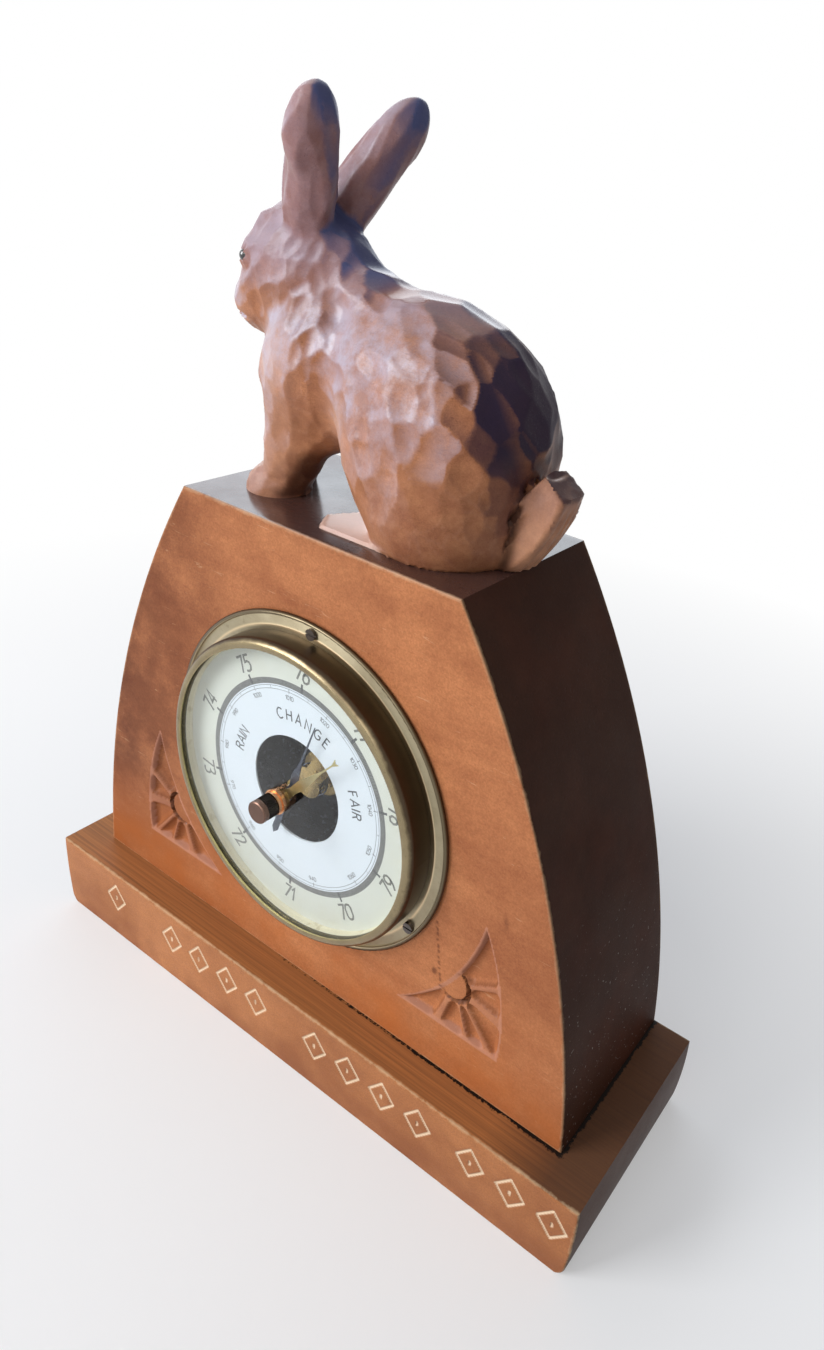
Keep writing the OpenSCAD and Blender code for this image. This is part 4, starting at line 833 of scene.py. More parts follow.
def rabbitGap(points):
    # the body is fused softly and the limbs crisply; then sockets, hollows and creases are cut
    x, y, z = points.T
    body = smoothLeast(gapsTo(points, bodies), rabbit["bodyBlend"])
    limb = smoothLeast(gapsTo(points, limbs), rabbit["limbBlend"])
    gap = smoothLeast(np.stack([body, limb]), rabbit["limbBlend"]) - rabbit["offset"]
    for hollow in earHollows:
        gap = -smoothLeast(np.stack([-gap, ellipsoidGap(points, hollow)]), rabbit["hollowBlend"])
    for side in (1, -1):
        eye = np.linalg.norm(points - eyeAt[side], axis=1)
        gap += 0.6 * bell(eye, 1.9) - 0.95 * bell(eye - 3.0, 1.0)
        brow = np.linalg.norm((points - eyeAt[side] - [-0.5, side * 0.5, 4.6]) * [0.7, 1, 1.5], axis=1)
        gap -= 1.5 * bell(brow, 3.2)
        cheek = np.linalg.norm(points - eyeAt[side] - [0.5, side * 1.0, -7], axis=1)
        gap -= 0.9 * bell(cheek, 4.5)
    # toes
    for paw in named(limbs, "paw"):
        pawX, pawY, _ = (points - paw["at"]).T
        for k in (-2.6, 2.6):
            gap += 0.7 * bell(pawY - k, 0.7) * smooth(-3, -6, pawX) * smooth(10, 6, z)
    mouth = abs(z - 53.5 + 0.25 * (x + 55))
    gap += 0.7 * bell(mouth, 0.7) * smooth(-47, -52, x)
    split = bell(y, 0.8) * smooth(-52, -56, x) * smooth(63, 57, z)
    gap += 0.7 * split
    # grooves down the tail and the crease beside it
    tail = tailCoords(points)
    on = smooth(2.5, 0.5, abs(ellipsoidGap(points, tailForm)))
    beside = on * smooth(3.5, 5.5, abs(tail[:, 1]))
    for k, deep in ((-4.6, 1.2), (-1.9, 0.8)):
        gap += deep * beside * bell(tail[:, 0] - k, 0.75) * smooth(7, 0, tail[:, 2])
    for k in (-3.4, 0.2, 3.7):
        gap += 0.7 * on * bell(tail[:, 1] - k, 0.7) * smooth(13, 6, tail[:, 2])
    return np.maximum(gap, -z)


def gapNormal(points):
    step = 0.15
    normal = np.stack([rabbitGap(points + step * axis) - rabbitGap(points - step * axis)
                       for axis in np.eye(3)], 1)
    return normal / (2 * step)


def rabbitBlank():
    # the forms as plain ellipsoids, fused by a voxel remesh, in mm on top of the case
    u = np.linspace(0, math.pi, rabbit["rings"])
    v = np.linspace(0, 2 * math.pi, rabbit["sides"], endpoint=False)
    gridU, gridV = np.meshgrid(u, v, indexing="ij")
    ball = [np.sin(gridU) * np.cos(gridV), np.sin(gridU) * np.sin(gridV), np.cos(gridU)]
    ball = np.stack(ball, -1).reshape(-1, 3)
    faces = gridFaces(rabbit["rings"], rabbit["sides"], wrap=True)
    points, polys = [], []
    for k, form in enumerate(bodies + limbs):
        shell = ball * (form["size"] + 0.3)
        # pressed onto its flats three times over, since each press can push past another flat
        for x, y, z, reach in form.get("flats", ()) * 3:
            away = np.array([x, y * form["side"], z])
            away = away / np.linalg.norm(away)
            shell -= np.maximum(shell @ away - reach - 0.4, 0)[:, None] * away
        points.append(shell @ form["turn"].T + form["at"])
        polys.append(faces + k * len(ball))
    points = np.concatenate(points)
    points[:, 2] = np.maximum(points[:, 2], -1.5)
    blank = weldedObject("rabbitBlank", points * mm, np.concatenate(polys).tolist(), 1e-6)
    remesh = blank.modifiers.new("fuse", "REMESH")
    remesh.mode = "VOXEL"
    remesh.voxel_size = rabbit["voxel"] * mm
    mesh = evaluated(blank)
    bpy.data.objects.remove(blank)
    return mesh


def carvedCuts(points, normals):
    # Seeds lie on the surface, spaced as the nearest form says. Each is a scoop, deepest at its seed:
    # depth * (1 - along^2 - across^2), and the deepest scoop at a point wins.
    forms = bodies + limbs
    nearest = gapsTo(points, forms).argmin(0)
    seeds, size, depth, flow = [], [], [], []
    for k, form in enumerate(forms):
        mine = np.where(nearest == k)[0]
        if not len(mine):
            continue
        length, width, deep = form["cut"]
        mine = rng.permutation(mine)
        axis = form["stroke"] / np.linalg.norm(form["stroke"])
        rest = points[mine] - np.outer(points[mine] @ axis, axis)
        along = points[mine] @ axis / length + 0.5 * (np.floor(rest.sum(1) / width) % 2)
        cell = np.column_stack([np.floor(along), np.floor(rest / width)])
        _, first = np.unique(cell, axis=0, return_index=True)
        chosen = mine[first]
        seeds.append(chosen)
        grow = rng.uniform(0.8, 1.3, (len(chosen), 1))
        size.append(np.array([[length * 0.78, width * 0.74]]) * grow)
        depth.append(deep * rng.uniform(0.7, 1.35, len(chosen)))
        flow.append(np.tile(axis, (len(chosen), 1)))
    seeds = np.concatenate(seeds)
    size, depth, flow = np.concatenate(size), np.concatenate(depth), np.concatenate(flow)
    seedAt = points[seeds] + rng.normal(0, 0.6, (len(seeds), 3))
    seedN = normals[seeds]
    flow += rng.normal(0, 0.22, flow.shape)
    along = unit(flow - (flow * seedN).sum(1, keepdims=True) * seedN)
    across = np.cross(seedN, along)
    best, second, tone = np.zeros((3, len(points)))
    tones = rng.uniform(0, 1, len(seeds))
    batch = 2000  # so many points at a time, to spare memory
    for start in range(0, len(points), batch):
        part = slice(start, start + batch)
        gap = points[part, None, :] - seedAt[None]
        a = (gap * along).sum(2) / size[:, 0]
        b = (gap * across).sum(2) / size[:, 1]
        lift = abs((gap * seedN).sum(2))
        scoop = depth * (1 - a * a - b * b) - 0.8 * np.maximum(lift - 4, 0)
        scoop -= 4 * np.maximum(0.6 - normals[part] @ seedN.T, 0)
        ranked = np.partition(scoop, -2, axis=1)
        best[part], second[part] = ranked[:, -1], ranked[:, -2]
        tone[part] = tones[scoop.argmax(1)]
    return np.maximum(best, 0), np.clip(best - second, 0, 1), tone


# of these colours, the shades and the deep colour are painted shade, the lilac and the ears' mauve are a
# painted sheen, and the pale colour is partly wear and partly a painted highlight
rabbitWood = dict(light=(0.53, 0.225, 0.105, 1), dark=(0.19, 0.065, 0.034, 1), pale=(0.84, 0.60, 0.50, 1),
                  deep=(0.028, 0.011, 0.008, 1), shade=(0.017, 0.016, 0.044, 1), paintedSheen=(0.47, 0.46, 0.58, 1),
                  ears=(0.29, 0.225, 0.29, 1), earShade=(0.080, 0.100, 0.220, 1), low=(0.60, 0.285, 0.14, 1),
                  mottle=0.8, scale=1.3, coatRough=0.2, coatBend=1.6, specular=0.08)


def makeRabbitWood(name, spec):
    material, tree, shader = newMaterial(name)
    here = objectCoords(tree)
    grain = useGroup(tree, grainGroup, {"Light": spec["light"], "Dark": spec["dark"],
                                        "Mottle": spec["mottle"], "Scale": spec["scale"]})
    ridge, pale, deep, tone = (attribute(tree, k) for k in ("ridge", "pale", "deep", "tone"))
    place = split(tree, here)
    normal = split(tree, surfaceNormal(tree))
    patch = remap(tree, noise(tree, here, 42, 6, 0.7), 0.36, 0.62)
    high = remap(tree, place[2], 262 * mm, 274 * mm)
    low = times(tree, remap(tree, place[2], 238 * mm, 215 * mm), times(tree, patch, 0.7))
    smudge = remap(tree, noise(tree, here, 170, 6, 0.75), 0.38, 0.66, 0.0, 0.4)
    # painted sheen: the cuts that face up and outward, towards the lamps, are painted lilac like a reflection
    # of the sky
    paintedSheen = plus(tree, times(tree, calc(tree, "ABSOLUTE", normal[1]), 0.80),
                 plus(tree, times(tree, normal[2], 0.52), times(tree, normal[0], -0.28)))
    paintedSheen = plus(tree, paintedSheen, times(tree, minus(tree, tone, 0.5), 0.12))
    paintedSheen = times(tree, remap(tree, paintedSheen, 0.69, 0.93), remap(tree, patch, 0.1, 0.8, 0.25, 1.0))
    paintedSheen = times(tree, paintedSheen, remap(tree, place[2], 212 * mm, 238 * mm, 0.25, 1.0))
    paintedSheen = times(tree, paintedSheen, remap(tree, place[2], 256 * mm, 272 * mm, 1.0, 0.45), True)
    paintedSheen = times(tree, paintedSheen, remap(tree, place[0], 46 * mm, 54 * mm, 1.0, 0.15))
    # painted shade: the cuts that face back, away from the lamps, are painted nearly black
    rear = plus(tree, times(tree, normal[0], 0.82), times(tree, normal[2], 0.46))
    rear = plus(tree, rear, times(tree, minus(tree, 0.5, tone), 0.12))
    rear = times(tree, remap(tree, rear, 0.53, 0.80), remap(tree, place[2], 212 * mm, 236 * mm, 0.4, 1.0))
    lit = times(tree, ridge, minus(tree, 0.03, times(tree, rear, 0.03)))
    color = layered(tree, grain["Color"],
                    (low, spec["low"]),
                    # painted sheen: the ears are painted a bluish mauve
                    (times(tree, high, 0.6), spec["ears"]),
                    (times(tree, invert(tree, tone), 0.3), spec["dark"]),
                    (smudge, spec["dark"]),
                    # partly wear, partly painted highlight
                    (pale, spec["pale"]),
                    # painted sheen in lilac
                    (times(tree, paintedSheen, 0.75), spec["paintedSheen"]),
                    # painted shade on the cuts that face back
                    (times(tree, rear, 0.93), mixColor(tree, high, spec["shade"], spec["earShade"])),
                    (lit, spec["pale"]),
                    # painted shade in creases and slits
                    (deep, spec["deep"]))
    rough = remap(tree, noise(tree, here, 75, 5, 0.6), 0.35, 0.7, 0.3, 0.5)
    gouge = noise(tree, stretch(tree, here, (500, 500, 120)), 1.0, 3, 0.5)
    height = plus(tree, times(tree, gouge, 0.6), grain["Height"])
    # polish lies on the tops and on the painted sheen, less in the deep cuts and where the wood faces back
    top = remap(tree, normal[2], 0.55, 0.9)
    coat = calc(tree, "MAXIMUM", times(tree, paintedSheen, 0.5), times(tree, top, 0.8))
    coat = times(tree, coat, invert(tree, deep))
    coat = times(tree, coat, remap(tree, normal[0], 0.25, 0.6, 1.0, 0.1))
    feed(tree, shader, {"Base Color": color, "Roughness": rough, "Coat Weight": coat,
                        "Coat Roughness": spec["coatRough"], "Coat IOR": spec["coatBend"],
                        "Specular IOR Level": spec["specular"],
                        "Normal": bump(tree, height, 0.4, 0.3 * mm)})
    return material


def makeRabbit():
    mesh = rabbitBlank()
    points = coordsOf(mesh) / mm
    x, _, z = points.T  # these follow when the points move
    for _ in range(rabbit["passes"]):
        gap = rabbitGap(points)
        normal = gapNormal(points)
        step = np.clip(gap / np.maximum((normal ** 2).sum(1), 0.3), -1, 1)
        points -= step[:, None] * normal * 0.9
    normal = unit(gapNormal(points))
    cuts, lead, tone = carvedCuts(points, normal)
    # shallower low on the haunches, and none inside the ears
    cuts *= np.maximum(smooth(-6, 34, z), smooth(-12, -22, x)) * 0.75 + 0.25
    cuts *= smooth(0.2, 2.0, gapsTo(points, earHollows).min(0))
    eyes = np.stack([np.linalg.norm(points - eyeAt[side], axis=1) for side in (1, -1)]).min(0)
    points -= (cuts * smooth(0.0, 1.5, z) * smooth(2.2, 4.5, eyes))[:, None] * normal
    points[:, 2] = np.clip(z, 0, rabbitHigh[2] / mm - topZ / mm)
    footGap = gapsTo(points, named(limbs, "foot")).min(0)
    bodyGap = gapsTo(points, bodies).min(0)
    tailGap = ellipsoidGap(points, tailForm)
    inTail = tailCoords(points)
    # paler on the legs, feet, muzzle, throat and the front of the haunch: partly wear from hands, partly a
    # painted highlight where the lamps catch them
    haunch = bell(x + 2, 6) * smooth(50, 30, z) * smooth(0, 8, z)
    legs = smooth(36, 18, z) * smooth(-20, -32, x)
    feet = smooth(1.5, 1.1, footGap) * smooth(0.9, 1.8, bodyGap)
    muzzle = smooth(-44, -54, x)
    tail = smooth(3, 0.5, tailGap) * smooth(52, 58, x)
    throat = np.exp(-((x + 32) / 10) ** 2 - ((z - 46) / 14) ** 2)
    pale = 0.35 * throat + 0.3 * haunch + 0.1 * legs + 0.62 * feet + 0.15 * muzzle + 0.1 * tail
    # painted shade: dark inside the near leg, on the tail's end, and in the crease and slits beside it
    inside = (smooth(-0.05, 0.4, normal @ [0.84, 0.53, -0.1]) * smooth(-42, -38, x)
              * smooth(-13, -17, x) * smooth(20, 14, z) * smooth(0, 1.2, footGap))
    tailTop = smooth(13.2, 13.9, inTail[:, 2]) * smooth(50, 53, x)
    crease = bell(tailGap, 1.3) * smooth(58, 53, x) * smooth(44, 50, x)
    wide = abs(inTail[:, 1])
    slits = (bell(inTail[:, 0] + 4.6, 1.0) * smooth(7, -2, inTail[:, 2]) * smooth(3, 5, wide)
             * smooth(10, 8, wide) * smooth(-22, -18, inTail[:, 2]) * 0.8)
    dark = crease * 1.1 + slits + tailTop * 0.15 + inside * 0.7
    mesh.vertices.foreach_set("co", (points * mm + [0, midY, topZ]).ravel())
    putAttribute(mesh, "ridge", smooth(0.10, 0.0, lead))
    putAttribute(mesh, "pale", np.clip(pale, 0, 0.95))
    # painted shade in the creases, slits, tail's end and inside the near leg
    putAttribute(mesh, "deep", np.clip(dark, 0, 0.85))
    putAttribute(mesh, "tone", tone)
    mesh.update()
    obj = link("rabbitCarving", mesh)
    shade(mesh, 45)
    paint(obj, makeRabbitWood("rabbitWood", rabbitWood))
    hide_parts("rabbit")
    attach(obj, "case")
    print("rabbit faces", len(mesh.polygons))


makeRabbit()
print("rabbit made")


# metal

brasses = {
    "movementBrass": dict(color=(0.52, 0.37, 0.15, 1), tarnish=(0.15, 0.10, 0.045, 1), rough=0.2, amount=0.7),
    "handBrass": dict(color=(0.62, 0.53, 0.28, 1), tarnish=(0.36, 0.30, 0.14, 1), rough=0.34, amount=0.6),
    "ferruleBrass": dict(color=(0.78, 0.42, 0.22, 1), tarnish=(0.40, 0.20, 0.09, 1), rough=0.2, amount=0.5),
    "knobBrass": dict(color=(0.20, 0.115, 0.085, 1), tarnish=(0.07, 0.045, 0.035, 1), rough=0.3, amount=0.6),
    "darkGrip": dict(color=(0.045, 0.038, 0.034, 1), tarnish=(0.02, 0.017, 0.015, 1), rough=0.42, amount=0.6),
    "darkScrew": dict(color=(0.16, 0.14, 0.13, 1), tarnish=(0.035, 0.03, 0.03, 1), rough=0.3, amount=0.8),
    "screwSteel": dict(color=(0.55, 0.55, 0.54, 1), tarnish=(0.25, 0.23, 0.21, 1), rough=0.28, amount=0.5),
    "arborSteel": dict(color=(0.66, 0.66, 0.66, 1), tarnish=(0.40, 0.39, 0.38, 1), rough=0.18, amount=0.3),
    "springSteel": dict(color=(0.26, 0.31, 0.42, 1), tarnish=(0.15, 0.17, 0.24, 1), rough=0.25, amount=0.4)}


def makeBrass(name, spec):
    material, tree, shader = newMaterial(name)
    stains = useGroup(tree, tarnishGroup, {"Amount": spec["amount"]})
    dusty = useGroup(tree, dustGroup, {"Amount": 0.25})["Mask"]
    color = layered(tree, spec["color"], (stains["Mask"], spec["tarnish"]),
                    (times(tree, stains["Scratches"], 0.25), spec["color"]),
                    (dusty, (0.35, 0.32, 0.27, 1)))
    rough = plus(tree, spec["rough"], times(tree, stains["Mask"], 0.22), True)
    feed(tree, shader, {"Base Color": color, "Metallic": 1.0, "Roughness": rough,
                        "Normal": bump(tree, stains["Height"], 0.12, 0.15 * mm)})
    return material


metals = {name: makeBrass(name, spec) for name, spec in brasses.items()}

bezelR = (bezelHigh[0] - bezelLow[0]) / 2
# the wall colour is patina with a painted dark reflection; the inner colour is a painted highlight
rimBrass = dict(color=(0.36, 0.29, 0.17, 1), tarnish=(0.17, 0.13, 0.075, 1), wall=(0.050, 0.033, 0.022, 1),
                inner=(0.80, 0.66, 0.32, 1), rough=0.26, flare=0.0)
flangeBrass = dict(color=(0.43, 0.37, 0.25, 1), tarnish=(0.21, 0.17, 0.10, 1), wall=(0.10, 0.075, 0.045, 1),
                   inner=(0.80, 0.62, 0.38, 1), rough=0.3, flare=0.33, glintAt=1.6 * mm, glintWidth=0.7 * mm,
                   edge=(58.3 * mm, 59 * mm))


def makeRimBrass(name, spec):
    # walls facing out from the dial's axis are painted dark brown, old polish with a painted dark reflection,
    # and slopes facing in are painted bright gold, a painted highlight;
    # flare is the slope of the flange's face, which falls away outside a painted glint line beside the bezel
    material, tree, shader = newMaterial(name)
    stains = useGroup(tree, tarnishGroup, {"Amount": 0.7})
    flat, reach = fromDialAxis(tree)
    out = vectorCalc(tree, "NORMALIZE", {0: flat})
    facing = vectorCalc(tree, "DOT_PRODUCT", {0: surfaceNormal(tree), 1: out}, "Value")
    wallJitter = remap(tree, noise(tree, objectCoords(tree), 90, 5, 0.7), 0.3, 0.7, -0.15, 0.15)
    wall = remap(tree, plus(tree, facing, wallJitter), 0.45, 0.85, 0.0, 0.92)
    inner = remap(tree, facing, -0.2, -0.7, 0.0, 0.8)
    layers = [(stains["Mask"], spec["tarnish"]), (inner, spec["inner"])]
    height = times(tree, stains["Height"], 0.0225 * mm)
    if spec["flare"]:
        # painted highlight: a bright glint line on the flange beside the bezel
        beyond = minus(tree, reach, bezelR + spec["glintAt"])
        glintLine = remap(tree, calc(tree, "ABSOLUTE", beyond), 0.0, spec["glintWidth"], 0.8, 0.0)
        # painted shade: a dark line along the flange's outer edge
        edge = remap(tree, reach, *spec["edge"], 0.0, 0.8)
        layers += [(glintLine, spec["inner"]), (edge, spec["wall"])]
        fall = times(tree, calc(tree, "MAXIMUM", beyond, 0.0), -spec["flare"])
        height = plus(tree, height, fall)
    color = layered(tree, spec["color"], *layers, (wall, spec["wall"]))
    rough = plus(tree, spec["rough"], times(tree, wall, 0.12), True)
    feed(tree, shader, {"Base Color": color, "Metallic": 1.0, "Roughness": rough,
                        "Normal": bump(tree, height, 1.0, 1.0)})
    return material


metals["rimBrass"] = makeRimBrass("rimBrass", rimBrass)
metals["flangeBrass"] = makeRimBrass("flangeBrass", flangeBrass)


def makePaint(name, color, spot, rough, scale, metallic=0.0, coat=0.0, depth=0.08 * mm):
    # lacquer or paint with a fine crackle and a few lighter spots
    material, tree, shader = newMaterial(name)
    place = objectCoords(tree)
    cells = addNode(tree, "TexVoronoi", {"Vector": place, "Scale": scale}, feature="DISTANCE_TO_EDGE")
    cracks = remap(tree, cells.outputs["Distance"], 0.0, 0.12)
    cloud = noise(tree, place, scale * 0.12, 6, 0.65)
    spots = remap(tree, noise(tree, place, scale * 0.8, 2, 0.5), 0.60, 0.66, 0.0, 0.9)
    drift = remap(tree, noise(tree, place, scale * 0.06, 4, 0.6), 0.35, 0.62, 0.1, 0.9)
    tint = layered(tree, color, (times(tree, remap(tree, cloud, 0.4, 0.75), drift), spot), (spots, spot))
    height = plus(tree, cracks, times(tree, cloud, 0.5))
    rough = remap(tree, cloud, 0.3, 0.7, rough - 0.08, rough + 0.1)
    feed(tree, shader, {"Base Color": tint, "Roughness": rough, "Metallic": metallic,
                        "Coat Weight": coat, "Coat Roughness": 0.2,
                        "Normal": bump(tree, height, 0.5, depth)})
    return material


# colour, colour of the spots, roughness, scale, metallic, coat, depth of the crackle
paintLooks = {
    "panPaint": ((0.008, 0.010, 0.018, 1), (0.17, 0.20, 0.27, 1), 0.4, 700, 0.3),
    "capsuleMetal": ((0.010, 0.013, 0.024, 1), (0.30, 0.34, 0.43, 1), 0.3, 800, 0.4),
    "spacerPaint": ((0.78, 0.72, 0.54, 1), (0.62, 0.54, 0.36, 1), 0.5, 300),
    "gasketPaper": ((0.10, 0.09, 0.07, 1), (0.2, 0.17, 0.13, 1), 0.8, 500),
    "bluedSteel": ((0.035, 0.045, 0.075, 1), (0.12, 0.14, 0.19, 1), 0.35, 700, 0.7),
    "dowelWood": ((0.58, 0.38, 0.20, 1), (0.45, 0.27, 0.13, 1), 0.6, 250),
    "eyeGlass": ((0.006, 0.005, 0.005, 1), (0.012, 0.01, 0.01, 1), 0.12, 300, 0.0, 1.0, 0.01 * mm)}
paints = {name: makePaint(name, *spec) for name, spec in paintLooks.items()}


def makeGlass(name):
    # light passes straight through to what lies below, so that the dial is lit
    material, tree, shader = newMaterial(name)
    smear = noise(tree, objectCoords(tree), 45, 6, 0.7)
    feed(tree, shader, {"Base Color": (0.97, 0.985, 0.98, 1), "Metallic": 0.0, "Transmission Weight": 1.0,
                        "IOR": 1.3, "Roughness": remap(tree, smear, 0.45, 0.8, 0.0, 0.07)})
    path = tree.nodes.new("ShaderNodeLightPath").outputs
    passing = calc(tree, "MAXIMUM", path["Is Shadow Ray"], path["Is Diffuse Ray"])
    mixOver(tree, shader, passing, addNode(tree, "BsdfTransparent", {"Color": (0.95, 0.97, 0.96, 1)}))
    return material


nodeLooks = {
    "flangeBrass": ["flange"],
    "rimBrass": ["bezel"],
    "movementBrass": ["capsule_leaf", "leaf_rivet", "capsule_stud", "adjusting_screw", "lever_bracket",
                      "main_lever", "foot_bracket", "hanger_bracket", "lower_plate", "movement_posts",
                      "upper_plate", "plate_pillars", "sector", "hairspring_collet", "hairspring_stud",
                      "pointer_boss", "set_shaft", "ferrule_nut"],
    "handBrass": ["set_hand"],
    "ferruleBrass": ["ferrule"],
    "knobBrass": ["knob_cap"],
    "darkGrip": ["set_knob"],
    "darkScrew": ["flange_screws"],
    "screwSteel": ["foot_screws", "pan_screws", "bracket_screws", "post_screws", "pillar_screws"],
    "arborSteel": ["lever_shaft", "rocking_shaft", "sector_arbor", "sector_pin", "pointer_arbor",
                   "friction_washer"],
    "springSteel": ["hairspring"],
    "panPaint": ["pan", "base_plate"],
    "capsuleMetal": ["capsule_back", "capsule_front"],
    "spacerPaint": ["spacer_ring"],
    "gasketPaper": ["gasket"],
    "bluedSteel": ["pointer"],
    "dowelWood": ["rabbit_dowels"],
    "eyeGlass": ["rabbit_eyes"]}


# width and segments of the bevels
bevels = {(0.06 * mm, 2): ["set_hand", "pointer"],
          (0.12 * mm, 2): ["lower_plate", "upper_plate", "sector", "main_lever", "capsule_leaf",
                           "lever_bracket", "foot_bracket", "hanger_bracket"],
          (0.15 * mm, 3): ["knob_cap", "ferrule", "flange_screws"]}


def bevelled(obj, width, segments):
    bevel = obj.modifiers.new("bevel", "BEVEL")
    bevel.width, bevel.segments, bevel.limit_method = width, segments, "ANGLE"
    bevel.angle_limit = math.radians(40)
    bevel.harden_normals = False


for look, names in nodeLooks.items():
    for name in names:
        paint(nodes[name], (metals | paints)[look])
paint(nodes["glass"], makeGlass("clearGlass"))
for size, names in bevels.items():
    for name in names:
        bevelled(nodes[name], *size)
print("metal made")


# the dial's print

def makeDialPaint(name):
    # a bluish white centre inside a cream ring, a little foxed towards its rim
    material, tree, shader = newMaterial(name)
    place = objectCoords(tree)
    _, radius = fromDialAxis(tree)
    cream = remap(tree, radius, 37.4 * mm, 37.6 * mm)
    foxed = times(tree, remap(tree, noise(tree, place, 70, 6, 0.7), 0.5, 0.8),
                  remap(tree, radius, 36 * mm, 51 * mm, 0.05, 0.45))
    color = layered(tree, (0.74, 0.785, 0.86, 1), (cream, (0.66, 0.67, 0.61, 1)),
                    (foxed, (0.55, 0.47, 0.28, 1)))
    feed(tree, shader, {"Base Color": color, "Roughness": 0.42, "Coat Weight": 0.1,
                        "Normal": bump(tree, noise(tree, place, 1500, 3, 0.6), 0.1, 0.03 * mm)})
    return material


paint(nodes["dial"], makeDialPaint("dialPaint"))

# plain technical letters one high: the width and the polylines of each
strokes = {
    "0": (0.6, [[(0, 0.25), (0, 0.75), (0.12, 0.95), (0.3, 1), (0.48, 0.95), (0.6, 0.75), (0.6, 0.25),
                 (0.48, 0.05), (0.3, 0), (0.12, 0.05), (0, 0.25)]]),
    "1": (0.25, [[(0, 0.75), (0.22, 1), (0.22, 0)]]),
    "2": (0.58, [[(0.02, 0.78), (0.12, 0.95), (0.3, 1), (0.5, 0.93), (0.56, 0.75), (0.45, 0.5), (0, 0),
                  (0.58, 0)]]),
    "3": (0.56, [[(0, 0.95), (0.25, 1), (0.48, 0.92), (0.52, 0.75), (0.4, 0.57), (0.2, 0.54), (0.42, 0.5),
                  (0.55, 0.32), (0.5, 0.1), (0.28, 0), (0, 0.05)]]),
    "4": (0.6, [[(0.45, 0), (0.45, 1), (0, 0.3), (0.6, 0.3)]]),
    "5": (0.56, [[(0.52, 1), (0.08, 1), (0.04, 0.58), (0.3, 0.62), (0.5, 0.5), (0.56, 0.3), (0.48, 0.08),
                  (0.25, 0), (0, 0.06)]]),
    "6": (0.58, [[(0.46, 1), (0.2, 0.75), (0.03, 0.42), (0.04, 0.15), (0.2, 0), (0.4, 0), (0.56, 0.15),
                  (0.56, 0.4), (0.4, 0.55), (0.2, 0.55), (0.05, 0.42)]]),
    "7": (0.55, [[(0, 1), (0.55, 1), (0.2, 0)]]),
    "8": (0.58, [[(0.29, 0.54), (0.1, 0.62), (0.06, 0.82), (0.18, 0.98), (0.4, 0.98), (0.52, 0.82),
                  (0.48, 0.62), (0.29, 0.54), (0.06, 0.42), (0, 0.2), (0.14, 0), (0.44, 0), (0.58, 0.2),
                  (0.52, 0.42), (0.29, 0.54)]]),
    "9": (0.58, [[(0.53, 0.58), (0.38, 0.45), (0.18, 0.45), (0.02, 0.6), (0.02, 0.85), (0.18, 1), (0.38, 1),
                  (0.54, 0.85), (0.55, 0.58), (0.38, 0.25), (0.12, 0)]]),
    "A": (0.66, [[(0, 0), (0.33, 1), (0.66, 0)], [(0.12, 0.34), (0.54, 0.34)]]),
    "C": (0.68, [[(0.66, 0.85), (0.48, 0.97), (0.28, 0.98), (0.08, 0.8), (0, 0.5), (0.08, 0.2), (0.28, 0.02),
                  (0.48, 0.03), (0.66, 0.15)]]),
    "E": (0.46, [[(0.46, 1), (0, 1), (0, 0), (0.46, 0)], [(0, 0.52), (0.4, 0.52)]]),
    "F": (0.46, [[(0.46, 1), (0, 1), (0, 0)], [(0, 0.52), (0.38, 0.52)]]),
    "G": (0.72, [[(0.68, 0.85), (0.48, 0.98), (0.28, 0.98), (0.08, 0.8), (0, 0.5), (0.08, 0.2), (0.28, 0.02),
                  (0.5, 0.02), (0.7, 0.18), (0.7, 0.46), (0.42, 0.46)]]),
    "H": (0.6, [[(0, 0), (0, 1)], [(0.6, 0), (0.6, 1)], [(0, 0.52), (0.6, 0.52)]]),
    "I": (0.02, [[(0, 0), (0, 1)]]),
    "N": (0.62, [[(0, 0), (0, 1), (0.62, 0), (0.62, 1)]]),
    "R": (0.54, [[(0, 0), (0, 1), (0.34, 1), (0.5, 0.88), (0.5, 0.66), (0.34, 0.54), (0, 0.54)],
                 [(0.28, 0.54), (0.54, 0)]])}


